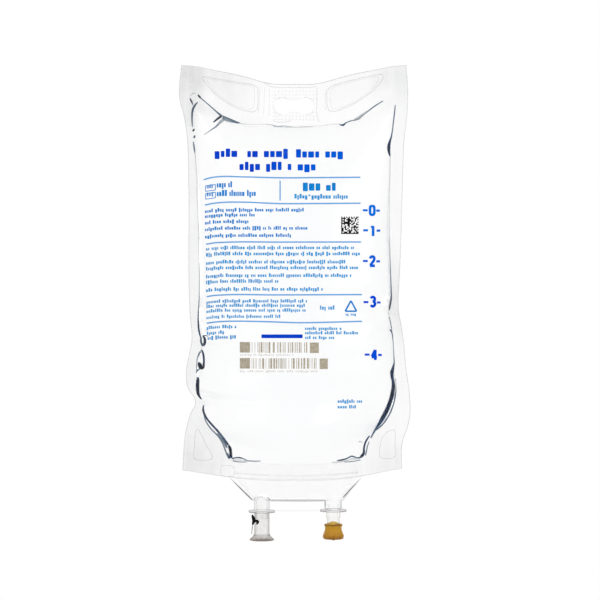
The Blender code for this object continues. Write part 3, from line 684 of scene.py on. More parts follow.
# Painted shade: the flanges, seen edge on, are greyer and milkier than the rest of the moulding.
FLANGE = moulded_material("flange_plastic", (0.36, 0.34, 0.34), 0.8, (0.6, 0.57, 0.56), 0.07, 0.15)
TUBE = moulded_material("tube_plastic", (0.36, 0.35, 0.34), 0.6, (0.78, 0.77, 0.74), 0.04, 0.035)
CAP_CLEAR = moulded_material("cap_plastic", (0.3, 0.28, 0.26), 1, (0.68, 0.65, 0.62), 0.07, 0.05)
CAP_INSIDE = moulded_material("cap_inside", (0.5, 0.48, 0.45), 0.3, (0.72, 0.68, 0.66), 0.04)
# Painted shade: the cap's flare is darker and browner than the cap, and its ledge and foot darker still.
CAP_FLARE = moulded_material("cap_flare", (0.3, 0.28, 0.24), 0.8, (0.4, 0.36, 0.31), 0.13, 0.15)
CAP_FOOT = moulded_material("cap_foot", (0.22, 0.17, 0.13), 0.9, (0.27, 0.21, 0.16), 0.32, 0.2)
RUBBER = rubber_material()
BLACK = (0.004, 0.004, 0.005)
# Painted shade: the protector tab's black, in the uneven ink material.
TAB_SHADE = ink_material("tab_painted_shade", BLACK, (0.02, 0.02, 0.022))
INK = ink_material("ink_blue", (0, 0.035, 0.54), (0.002, 0.075, 0.66), (0, 0.105, 0.69))
INK_SCALE = ink_material("ink_scale", (0, 0.055, 0.68), (0, 0.1, 0.76), (0, 0.17, 0.76))
INK_RULE = ink_material("ink_rule", (0.12, 0.34, 0.72), (0.18, 0.44, 0.8))
INK_TEXT = ink_material("ink_text", (0.015, 0.24, 0.62), (0.08, 0.42, 0.8))
INK_BOLD = ink_material("ink_bold", (0.002, 0.17, 0.57), (0.015, 0.3, 0.76))
INK_TAUPE = ink_material("ink_taupe", (0.34, 0.285, 0.21), (0.56, 0.51, 0.405))
INK_FAINT = ink_material("ink_faint", (0.72, 0.69, 0.66), (0.8, 0.78, 0.75))
INK_BLACK = ink_material("ink_black", BLACK, (0.012, 0.012, 0.014))
NAVY_STOPS = (
    (0, (0.6, 0.625, 0.65)), (0.2, (0.37, 0.41, 0.44)), (0.4, (0.13, 0.19, 0.26)),
    (0.6, (0.015, 0.065, 0.15)), (0.8, (0, 0.016, 0.06)), (1, (0, 0.002, 0.01)),
)
GREY_STOPS = (
    (0, (0.7, 0.7, 0.7)), (0.25, (0.42, 0.41, 0.42)), (0.5, (0.16, 0.15, 0.16)), (1, (0.01, 0.01, 0.01)),
)
SHADE = shade_material("rim_shade", NAVY_STOPS)
SHADE_GREY = shade_material("moulding_shade", GREY_STOPS)


# Mesh helpers


def link(name, data, place=(0, 0, 0)):
    made = bpy.data.objects.new(name, data)
    made.location = place
    bpy.context.scene.collection.objects.link(made)
    return made


def add_piece(name, mesh, materials, body="bag"):
    made = link(name, mesh)
    for one in materials:
        mesh.materials.append(one)
    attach(made, body)
    return made


def set_attribute(mesh, name, values):
    made = mesh.attributes.new(name, "FLOAT", "POINT")
    made.data.foreach_set("value", np.asarray(values, np.float32).ravel())


def grid_mesh(name, x, y, z, flip=False):
    """A mesh of quads through rows of places."""
    rows, columns = x.shape
    points = np.stack([x, y, z], -1).reshape(-1, 3)
    k = np.arange(rows * columns).reshape(rows, columns)
    quads = np.stack([k[:-1, :-1], k[1:, :-1], k[1:, 1:], k[:-1, 1:]], -1).reshape(-1, 4)
    if flip:
        quads = quads[:, ::-1]
    mesh = bpy.data.meshes.new(name)
    mesh.from_pydata(points.tolist(), [], quads.tolist())
    mesh.shade_smooth()
    return mesh


def outward(bm):
    bmesh.ops.recalc_face_normals(bm, faces=bm.faces[:])
    return bm


def mesh_of(bm, name):
    mesh = bpy.data.meshes.new(name)
    bm.to_mesh(mesh)
    bm.free()
    return mesh


def loft(rings):
    """A closed skin over rings of points, with a flat cap at each end."""
    bm = bmesh.new()
    skins = [[bm.verts.new(point) for point in section] for section in rings]
    for here, there in zip(skins, skins[1:]):
        for k in range(len(here)):
            after = (k + 1) % len(here)
            bm.faces.new((here[k], here[after], there[after], there[k]))
    bm.faces.new(skins[0])
    bm.faces.new(skins[-1])
    return outward(bm)


def paint(made, material, test):
    """Give the faces that a test picks out a material of their own."""
    made.data.materials.append(material)
    slot = len(made.data.materials) - 1
    for face in made.data.polygons:
        if test(face):
            face.material_index = slot


INWARD = 0.3  # the least part of its normal by which a face of an inner side points in


def away(face, at_x):
    """How far a face's middle is from an upright axis."""
    return math.hypot(face.center.x - at_x, face.center.y)


def line_inside(made, at_x, inside, reach=1):
    """Give the faces within reach that look in towards an upright axis the material of the inner side."""
    def looks_in(face):
        out = (face.center.x - at_x) * face.normal.x + face.center.y * face.normal.y
        return away(face, at_x) < reach and out < -INWARD * away(face, at_x)
    paint(made, inside, looks_in)


def sharpen(made, degrees):
    """Smooth shading, but for edges sharper than the given angle."""
    made.data.shade_smooth()
    made.data.set_sharp_from_angle(angle=math.radians(degrees))


def thicken(made, thickness):
    shell = made.modifiers.new("shell", "SOLIDIFY")
    shell.thickness = thickness
    shell.offset = 1
    return shell


def settle(made):
    """Apply a piece's modifiers, so that its mesh is final."""
    bpy.context.view_layer.update()
    graph = bpy.context.evaluated_depsgraph_get()
    mesh = bpy.data.meshes.new_from_object(made.evaluated_get(graph), depsgraph=graph)
    made.modifiers.clear()
    made.data = mesh


def combine(made, *steps):
    """Apply a piece's modifiers, and then (bmesh, operation) steps that add solids to it or cut them out."""
    tools = [link("tool", mesh_of(bm, "tool")) for bm, _ in steps]
    for tool, (_, operation) in zip(tools, steps):
        cut = made.modifiers.new(operation.lower(), "BOOLEAN")
        cut.operation = operation
        cut.solver = "EXACT"
        cut.object = tool
    settle(made)
    for tool in tools:
        bpy.data.objects.remove(tool)


def arc(x, z, radius, start, end):
    turns = np.radians(np.linspace(start, end, ARC_POINTS))
    return [(x + radius * math.cos(a), z + radius * math.sin(a)) for a in turns]


def slot_outline(grow=0):
    """The dog bone of the hang slot."""
    end_x = SLOT_WIDTH / 2 - SLOT_END_R
    radius = SLOT_END_R + grow
    lean = math.degrees(math.asin((SLOT_WAIST / 2 + grow) / radius))
    right = arc(end_x, -SLOT_END_R, radius, -180 + lean, 180 - lean)
    return right + arc(-end_x, -SLOT_END_R, radius, lean, 360 - lean)


# Film


def film(name, side):
    """One film: bulged cell, flat welds, raised fields, cut edges and the hang slot."""
    x, z, bulge, wave = bag_grid()
    y = wave + side * (bulge + SEAT_GAP / 2 + relief(x, z))
    mesh = grid_mesh(name, x, y, z, flip=side > 0)
    set_attribute(mesh, "grey", greyness(x, z, bulge))
    edge = np.ones(np.subtract(x.shape, 1), np.int32)
    edge[1:-1, 1:-1] = 0
    made = add_piece(name, mesh, [FILM, CUT_EDGE])
    mesh.polygons.foreach_set("material_index", edge.ravel())
    thicken(made, FILM_THICK).material_offset_rim = 1
    slot = loft([[(px, reach, pz) for px, pz in slot_outline()] for reach in (-CUT_REACH, CUT_REACH)])
    combine(made, (slot, "DIFFERENCE"))
    return made


front = film("front_film_sheet", -1)
back = film("back_film_sheet", 1)
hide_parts("front_film")
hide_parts("back_film")


class Skin:
    """The films' outer surfaces, on which lines and print are laid."""

    def __init__(self):
        graph = bpy.context.evaluated_depsgraph_get()
        self.front = BVHTree.FromObject(front, graph)
        self.back = BVHTree.FromObject(back, graph)

    def seen(self, x, y):
        """Where the line of sight through a photograph pixel meets the front film, or None."""
        way = Vector(((x - MIDDLE) * PIXEL, EYE_DISTANCE, (MIDDLE - y) * PIXEL)).normalized()
        return self.front.ray_cast(EYE, way)[0]

    def behind(self, place):
        """The back film's outer surface, straight behind a place."""
        return self.back.ray_cast(Vector((place.x, 1, place.z)), Vector((0, -1, 0)))[0]


skin = Skin()


def spread(points, step, closed=False, straight=False):
    """Points at even steps on a smooth line through (x, y, ...) rows, and how far along it each one lies."""
    rows = np.array(points, float)
    if closed:
        rows = np.vstack([rows, rows[:1]])
    gaps = np.hypot(*np.diff(rows[:, :2], axis=0).T)
    at = np.concatenate([[0], np.cumsum(gaps)])
    new = np.linspace(0, at[-1], max(2, int(round(at[-1] / step)) + 1))
    if straight or len(rows) < 3:
        return np.stack([np.interp(new, at, column) for column in rows.T], -1), new
    if closed:
        at = np.concatenate([[-gaps[-1]], at, [at[-1] + gaps[0]]])
        rows = np.vstack([rows[-2:-1], rows, rows[1:2]])
    return np.stack([smooth(list(zip(at, column)), new) for column in rows.T], -1), new


FAINT_COVER, TONE_COVER = 0.45, 1.7  # how well a line covers at tone 0, and what tone adds up to full cover


class Strips:
    """Lines in photograph pixels, laid on a film's front or back or on the middle plane, as one mesh."""

    def __init__(self, name, material, lift=PRINT_LIFT, crest=0, columns=2, slot=None, on="front"):
        self.name, self.material, self.lift, self.crest = name, material, lift, crest
        self.columns, self.slot, self.on = columns, slot, on
        self.points, self.faces = [], []
        self.values = {"tone": [], "side": [], "run": [], "cover": []}

    def place(self, x, y):
        """Where a photograph pixel lies, or None off the film."""
        if self.on == "plane":
            return Vector((on_plane(x, y)[0], 0, on_plane(x, y)[1]))
        seen = skin.seen(x, y)
        return skin.behind(seen) if seen and self.on == "back" else seen

    def add(self, points, width=None, step=1.5, closed=False, straight=False, fade=0):
        """A line of (x, y), or (x, y, width, tone), in pixels; fade is how far its ends take to fade out."""
        rows = [tuple(p) + ((width, 1) if len(p) == 2 else ()) for p in points]
        line, at = spread(rows, step, closed, straight)
        ahead = np.gradient(line[:, :2], axis=0)
        if closed:
            ahead[0] = ahead[-1] = line[1, :2] - line[-2, :2]
        ahead /= np.maximum(np.linalg.norm(ahead, axis=1, keepdims=True), 1e-9)
        start, columns, kept = len(self.points), self.columns, []
        for (x, y, wide, tone), (run, rise), done in zip(line, ahead, at):
            ends = min(done, at[-1] - done) / fade if fade else 1
            for side in np.linspace(-1, 1, columns):
                place = self.place(x - rise * side * wide / 2, y + run * side * wide / 2)
                kept.append(place is not None)
                lift = self.lift + self.crest * (1 - side * side)
                proud = Vector((0, lift if self.on == "back" else -lift, 0))
                self.points.append((place or Vector((0, 0, 0))) + proud)
                values = (tone, side, done, min(1, ends, FAINT_COVER + TONE_COVER * tone))
                for key, value in zip(self.values, values):
                    self.values[key].append(value)
        for k in range(len(line) - 1):
            for a in range(k * columns, (k + 1) * columns - 1):
                four = (a, a + 1, a + columns + 1, a + columns)
                if all(kept[c] for c in four):
                    face = tuple(start + c for c in four)
                    self.faces.append(face[::-1] if self.on == "back" else face)

    def straight(self, start, end, width, step=2):
        self.add((start, end), width, step, straight=True)

    def frame(self, corners, width):
        """A closed outline of straight lines."""
        for start, end in zip(corners, corners[1:] + corners[:1]):
            self.straight(start, end, width)

    def box(self, left, top, right, bottom, step=3):
        """A filled upright rectangle."""
        middle = (top + bottom) / 2
        self.straight((left, middle), (right, middle), bottom - top, step)

    def build(self, shade=False):
        """The piece. A shade keeps its points' values, and neither gloss nor refraction shows it."""
        mesh = bpy.data.meshes.new(self.name)
        mesh.from_pydata([tuple(p) for p in self.points], [], self.faces)
        for key, values in self.values.items() if shade else ():
            set_attribute(mesh, key, values)
        bm = bmesh.new()
        bm.from_mesh(mesh)
        bmesh.ops.delete(bm, geom=[v for v in bm.verts if not v.link_faces], context="VERTS")
        bm.to_mesh(mesh)
        bm.free()
        mesh.shade_smooth()
        made = add_piece(self.name, mesh, [self.material])
        made.visible_transmission = made.visible_glossy = not shade


# Embossed lines of the header, the lower corners and the weld band, each with its width
BEADS = (
    (0.9, ((262, 81.2), (266, 83.6), (269.5, 86.2), (275, 87), (296, 87.3), (312, 87.1), (316.6, 86.6))),
    (0.9, ((317, 87.5), (316.8, 100), (316.7, 112), (317.6, 118), (319, 121.5))),
    (0.5, ((326.3, 88.5), (325, 100), (325.6, 110))),
    (0.5, ((259.8, 86.5), (259.4, 100), (258.4, 112.5))),
    (0.5, ((264.6, 87), (264.2, 100), (263.6, 114))),
    (0.5, ((269.4, 88), (269.2, 100), (268.8, 116))),
    (0.9, ((273, 121), (281, 122.2), (291, 120.8))),
    (0.9, ((235, 473.4), (262, 475.6), (296, 476.6), (330, 475.4), (358, 472.4))),
    (0.5, ((221.3, 465.6), (233.6, 467.2), (234.2, 476.6))),
    (0.5, ((221.3, 465.6), (221, 474.5), (234, 476.9))),
)
SLOT_RIM_ARCS = ((5, 13), (20, 29), (34, 44), (48, 60))  # stretches of the slot's outline with a raised rim
SLOT_RIM_OFF = 0.0004
CRESCENT_LINE, CORNER_LINE, INNER_LINE, RIM_LINE = 1, 0.75, 0.45, 0.8  # widths in pixels
INNER_SHARE = 0.86  # size of a crescent's inner line, as a share of the outer one
KNURL_BOX = (272, 88.6, 315.4, 121)  # left, top, right and bottom of the ribbed square, in pixels
KNURL_FIRST = (275.2, 91.4)
KNURL_PITCH = 3.5
KNURL_WIDTH = 0.9


def emboss(side):
    lines = Strips(f"{side}_embossed_lines", EMBOSS, EMBOSS_LIFT, BEAD_CREST, 5, "clear_film", side)
    for name, outline in FIELDS.items():
        if name != "panel":
            lines.add(outline, CRESCENT_LINE if "crescent" in name else CORNER_LINE, 1.2, closed=True)
        if "crescent" in name:
            middle = np.mean(outline, axis=0)
            lines.add(middle + INNER_SHARE * (np.array(outline) - middle), INNER_LINE, closed=True)
    for width, bead in BEADS:
        lines.add(bead, width)
    rim = [(x / PIXEL + SLOT_PIXEL[0], SLOT_PIXEL[1] - z / PIXEL) for x, z in slot_outline(SLOT_RIM_OFF)]
    for start, end in SLOT_RIM_ARCS:
        lines.add(rim[start:end], RIM_LINE, 0.8, straight=True)
    lines.build()
    knurl = Strips(f"{side}_knurl", KNURL, EMBOSS_LIFT, KNURL_CREST, 3, "clear_film", side)
    left, top, right, bottom = KNURL_BOX
    for x in np.arange(KNURL_FIRST[0], right, KNURL_PITCH):
        knurl.straight((x, top), (x, bottom), KNURL_WIDTH, 1.6)
    for y in np.arange(KNURL_FIRST[1], bottom, KNURL_PITCH):
        knurl.straight((left, y), (right, y), KNURL_WIDTH, 1.6)
    knurl.build()


emboss("front")
emboss("back")


# Liquid


def revolve(profile, at_x, loop=False):
    """A turned solid from (radius, height) points that run down its outer side."""
    bm = bmesh.new()
    turns = np.linspace(0, 2 * math.pi, ROUND_STEPS, endpoint=False)
    rings = []
    for r, z in profile:
        if r < 1e-7:
            rings.append([bm.verts.new((at_x, 0, z))] * ROUND_STEPS)
        else:
            rings.append([bm.verts.new((at_x + r * math.cos(a), r * math.sin(a), z)) for a in turns])
    for here, there in zip(rings, rings[1:] + (rings[:1] if loop else [])):
        for j in range(ROUND_STEPS):
            i = (j + 1) % ROUND_STEPS
            corners = list(dict.fromkeys((here[j], there[j], there[i], here[i])))
            if len(corners) > 2:
                bm.faces.new(corners)
    return outward(bm)


def dome(radius, base, height):
    """The profile of a dome, from its top on the axis out to its rim."""
    angles = np.linspace(math.pi / 2, 0, DOME_STEPS + 1)
    return [(radius * math.cos(a), base + height * math.sin(a)) for a in angles]


def ring(half, thick, power, x, z, sag):
    turns = np.linspace(0, 2 * math.pi, RING_POINTS, endpoint=False)
    ahead, aside = np.cos(turns), np.sin(turns)
    y = thick * np.sign(aside) * np.abs(aside) ** power
    return [(x + half * c, v, z - sag * (1 - c * c)) for c, v in zip(ahead, y)]


def funnel_rings(inset, tip_inset, top, floor):
    """Sections from the band's upper rim down to the funnel's floor, drawn in by a wall."""
    start = (SADDLE_HALF - tip_inset, SADDLE_HALF_THICK - inset, BOAT, SADDLE_X, FUNNEL_TOP, SADDLE_SAG)
    end = (FLOOR_HALF - inset, FLOOR_HALF_THICK - inset, BOX, FLOOR_X, floor, 0)
    rings = [ring(*start[:4], top, SADDLE_SAG)]
    for share in FUNNEL_STOPS:
        rings.append(ring(*(a + share * (b - a) for a, b in zip(start, end))))
    return rings


def between(rows):
    """Rows with the outer two moved half-way to their neighbours."""
    first = (rows[:1] + rows[1:2]) / 2
    last = (rows[-1:] + rows[-2:-1]) / 2
    return np.concatenate([first, rows[1:-1], last])


def saline():
    cell = (slice(len(HEADER_STOPS), -len(BAND_STOPS)), slice(len(SEAL_STOPS), -len(SEAL_STOPS)))
    grid = bag_grid(LIQUID_SOFTER, creased=False)
    x, z, bulge, wave = (between(between(part[cell]).T).T for part in grid)
    deep = np.maximum(bulge + SEAT_GAP / 2 - FILL_CLEAR, FILL_EDGE)
    rows, columns = x.shape
    bm = bmesh.new()
    for side in (-1, 1):
        made = bmesh.ops.create_grid(bm, x_segments=columns - 1, y_segments=rows - 1, size=1)["verts"]
        for vert, place in zip(made, zip(x.flat, (wave + side * deep).flat, z.flat)):
            vert.co = place
    bmesh.ops.bridge_loops(bm, edges=[edge for edge in bm.edges if edge.is_boundary])
    made = add_piece("saline_fill", mesh_of(outward(bm), "saline_fill"), [LIQUID])
    inset, wide = SADDLE_WALL + SEAT_GAP, TIP_WALL + 3 * SEAT_GAP
    fill = loft(funnel_rings(inset, wide, SADDLE_TOP + BAND_HEIGHT / 2, FLOOR_Z + inset))
    room_r, base = SET_TUBE_R + SEAT_GAP / 2, FLOOR_Z + SADDLE_WALL + SET_TUBE_PROUD
    room = dome(room_r, base, DOME_HEIGHT + SEAT_GAP / 2) + [(room_r, FLOOR_Z), (0, FLOOR_Z)]
    combine(made, (fill, "UNION"), (revolve(room, SET_X), "DIFFERENCE"))
    sharpen(made, 50)
    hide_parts("saline_solution")


saline()


# Ports


def turned(name, profile, material, at_x, body="bag", loop=False):
    """A turned piece with its edges rounded off."""
    made = add_piece(name, mesh_of(revolve(profile, at_x, loop), name), [material], body)
    bevel = made.modifiers.new("round", "BEVEL")
    bevel.width = ROUND_OFF
    bevel.segments = 2
    bevel.limit_method = "ANGLE"
    bevel.angle_limit = math.radians(35)
    settle(made)
    sharpen(made, 40)
    return made


def cylinder(x, radius, top, bottom):
    bm = bmesh.new()
    place = Matrix.Translation((x, 0, (top + bottom) / 2))
    round_ends = {"radius1": radius, "radius2": radius, "depth": top - bottom}
    bmesh.ops.create_cone(bm, cap_ends=True, segments=ROUND_STEPS, matrix=place, **round_ends)
    return outward(bm)


def port_saddle():
    inner_floor = FLOOR_Z + SADDLE_WALL
    outside = funnel_rings(0, 0, SADDLE_TOP, FLOOR_Z)
    inside = funnel_rings(SADDLE_WALL, TIP_WALL, SADDLE_TOP, inner_floor)
    mesh = mesh_of(loft(outside[::-1] + inside), "saddle_moulding")
    made = add_piece("saddle_moulding", mesh, [MOULDED])
    over, under = inner_floor + SADDLE_WALL, FLOOR_Z - STUB_LENGTH - SADDLE_WALL
    combine(
        made,
        (cylinder(MED_X, STUB_R, FLOOR_Z + SADDLE_WALL / 2, FLOOR_Z - STUB_LENGTH), "UNION"),
        (cylinder(MED_X, BORE_R, over, under), "DIFFERENCE"),
        (cylinder(SET_X, SET_TUBE_R + SEAT_GAP, over, FLOOR_Z - SADDLE_WALL), "DIFFERENCE"),
    )
    sharpen(made, 45)
    line_inside(made, SADDLE_X, MOULDED_INSIDE)
    line_inside(made, MED_X, STUB_INSIDE, 1.05 * BORE_R)
    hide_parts("port_saddle")


def set_port():
    base = FLOOR_Z + SADDLE_WALL + SET_TUBE_PROUD
    flange_bottom = SET_FLANGE_Z - FLANGE_THICK
    nose_r = SPIKE_BORE_R + NOSE_WALL
    nose_end = flange_bottom - NOSE_LENGTH
    roof = base + DOME_HEIGHT - MEMBRANE
    profile = dome(SET_TUBE_R, base, DOME_HEIGHT) + [
        (SET_TUBE_R, SET_FLANGE_Z), (FLANGE_R, SET_FLANGE_Z), (FLANGE_R, flange_bottom),
        (nose_r, flange_bottom), (nose_r, nose_end), (SPIKE_BORE_R, nose_end),
        (SPIKE_BORE_R, base - MEMBRANE), (SPIKE_BORE_R * 0.7, roof - MEMBRANE / 3), (0, roof),
    ]
    tube = turned("spike_port_tube", profile, TUBE, SET_X)
    line_inside(tube, SET_X, MOULDED_INSIDE)
    paint(tube, FLANGE, lambda face: away(face, SET_X) > OFF_SIDE * SET_TUBE_R)
    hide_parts("set_port_tube")


def pull_tab(radius):
    """The small tab on the protector's left, black as painted shade: it hugs the cap, and its end stands off
    as a fin.
    """
    leaves = SET_X - TAB_REACH * radius
    bm = bmesh.new()
    for outline in TAB_OUTLINES:
        rows = []
        heights = [y for _, y in outline]
        for y in np.linspace(min(heights) + TAB_INSET, max(heights) - TAB_INSET, TAB_ROWS):
            hits = []
            for (ax, ay), (bx, by) in zip(outline, outline[1:] + outline[:1]):
                if (ay > y) != (by > y):
                    hits.append(ax + (y - ay) / (by - ay) * (bx - ax))
            row = []
            for px in np.linspace(min(hits), max(hits), TAB_COLUMNS):
                x, z = on_plane(px, y)
                side = max(x, leaves) - SET_X
                row.append(bm.verts.new((x, -math.sqrt(radius**2 - side**2) - TAB_CLEAR, z)))
            rows.append(row)
        for here, there in zip(rows, rows[1:]):
            for k in range(TAB_COLUMNS - 1):
                bm.faces.new((here[k], there[k], there[k + 1], here[k + 1]))
    made = add_piece("protector_tab", mesh_of(bm, "protector_tab"), [TAB_SHADE], "protector")
    thicken(made, TAB_THICK)
    settle(made)
    made.visible_transmission = False


def protector():
    top = SET_FLANGE_Z - FLANGE_THICK - SEAT_GAP
    inner = SPIKE_BORE_R + NOSE_WALL + SEAT_GAP
    outer = inner + CAP_WALL
    bottom = top - CAP_LENGTH
    flare_top = bottom + CAP_RIM + CAP_FLARE_HEIGHT
    profile = [(0, bottom + CAP_END), (inner, bottom + CAP_END), (inner, top), (outer, top)]
    profile += [(outer + share * CAP_LIP, top - drop) for share, drop in CAP_LIP_STOPS]
    profile += [(outer + share * (CAP_FLARE_R - outer), flare_top - drop) for share, drop in CAP_FLARE_STOPS]
    profile += [
        (CAP_FLARE_R, bottom + CAP_RIM), (CAP_FLARE_R, bottom + CAP_RIM / 3), (CAP_FLARE_R - CAP_RIM, bottom),
        (0, bottom),
    ]
    cap = turned("protector_cap", profile, CAP_CLEAR, SET_X, "protector")
    ledge, foot = flare_top - CAP_LEDGE, bottom + CAP_FOOT_RIMS * CAP_RIM

    def on_foot(face):
        on_ledge = abs(face.center.z - ledge) < CAP_LEDGE_HALF and away(face, SET_X) > outer
        return on_ledge or face.center.z < foot

    line_inside(cap, SET_X, CAP_INSIDE)
    # The flare, its ledge and the foot take painted shade
    paint(cap, CAP_FLARE, lambda face: face.center.z < ledge and away(face, SET_X) > inner)
    paint(cap, CAP_FOOT, on_foot)
    cap.visible_transmission = False
    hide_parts("set_port_protector")
    pull_tab(outer)


def medication_port():
    spigot_r, spigot_top = BORE_R - SEAT_GAP, MED_FLANGE_Z + SPIGOT_LENGTH
    flange_bottom = MED_FLANGE_Z - FLANGE_THICK
    step = flange_bottom - NECK_LENGTH
    tip = step - TIP_LENGTH
    rim = flange_bottom - STOPPER_UNDER_FLANGE
    seat_top = rim + PLUG_PROUD + PLUG_SEAT_CLEAR
    profile = [
        (spigot_r, spigot_top), (spigot_r, MED_FLANGE_Z), (FLANGE_R, MED_FLANGE_Z), (FLANGE_R, flange_bottom),
        (NECK_R, flange_bottom), (NECK_R, step), (TIP_R, step), (TIP_R, tip), (PLUG_SEAT_R, tip),
        (PLUG_SEAT_R, seat_top), (NECK_BORE_R, seat_top + PLUG_SEAT_R - NECK_BORE_R),
        (NECK_BORE_R, spigot_top),
    ]
    tube = turned("medication_port_neck", profile, NECK, MED_X, loop=True)
    line_inside(tube, MED_X, MOULDED_INSIDE)
    paint(tube, FLANGE, lambda face: away(face, MED_X) > OFF_SIDE * NECK_R)
    paint(tube, STUB_INSIDE, lambda face: face.center.z > MED_FLANGE_Z)
    tube.visible_transmission = False
    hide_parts("medication_port_tube")
    groove, groove_r, plug_r = tip - SEAT_GAP, TIP_R + SEAT_GAP, PLUG_SEAT_R - SEAT_GAP
    bottom = rim - STOPPER_HEIGHT
    waist_z = rim - 3 * STOPPER_RIM
    swell, fall = STOPPER_BULGE_R - STOPPER_WAIST_R, waist_z - bottom - 2 * STOPPER_CORNER
    stopper = dome(plug_r, rim, PLUG_PROUD) + [
        (plug_r, groove), (groove_r, groove), (groove_r, rim), (STOPPER_RIM_R, rim),
        (STOPPER_RIM_R, rim - STOPPER_RIM),
    ]
    stopper += [(STOPPER_WAIST_R + out * swell, waist_z - down * fall) for out, down in STOPPER_SIDE]
    stopper += [(STOPPER_BULGE_R - x * STOPPER_CORNER, bottom + z * STOPPER_CORNER) for x, z in STOPPER_FOOT]
    stopper += [(NUB_R, bottom), (NUB_R, bottom - NUB), (0, bottom - NUB)]
    plug = turned("rubber_stopper", stopper, RUBBER, MED_X)
    plug.visible_transmission = False
    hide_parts("medication_port_stopper")


port_saddle()
set_port()
protector()
medication_port()

strip_node = frame["nodes"]["port_tie_strip"]
strip_node.data.materials.clear()
strip_node.data.materials.append(MOULDED_INSIDE)


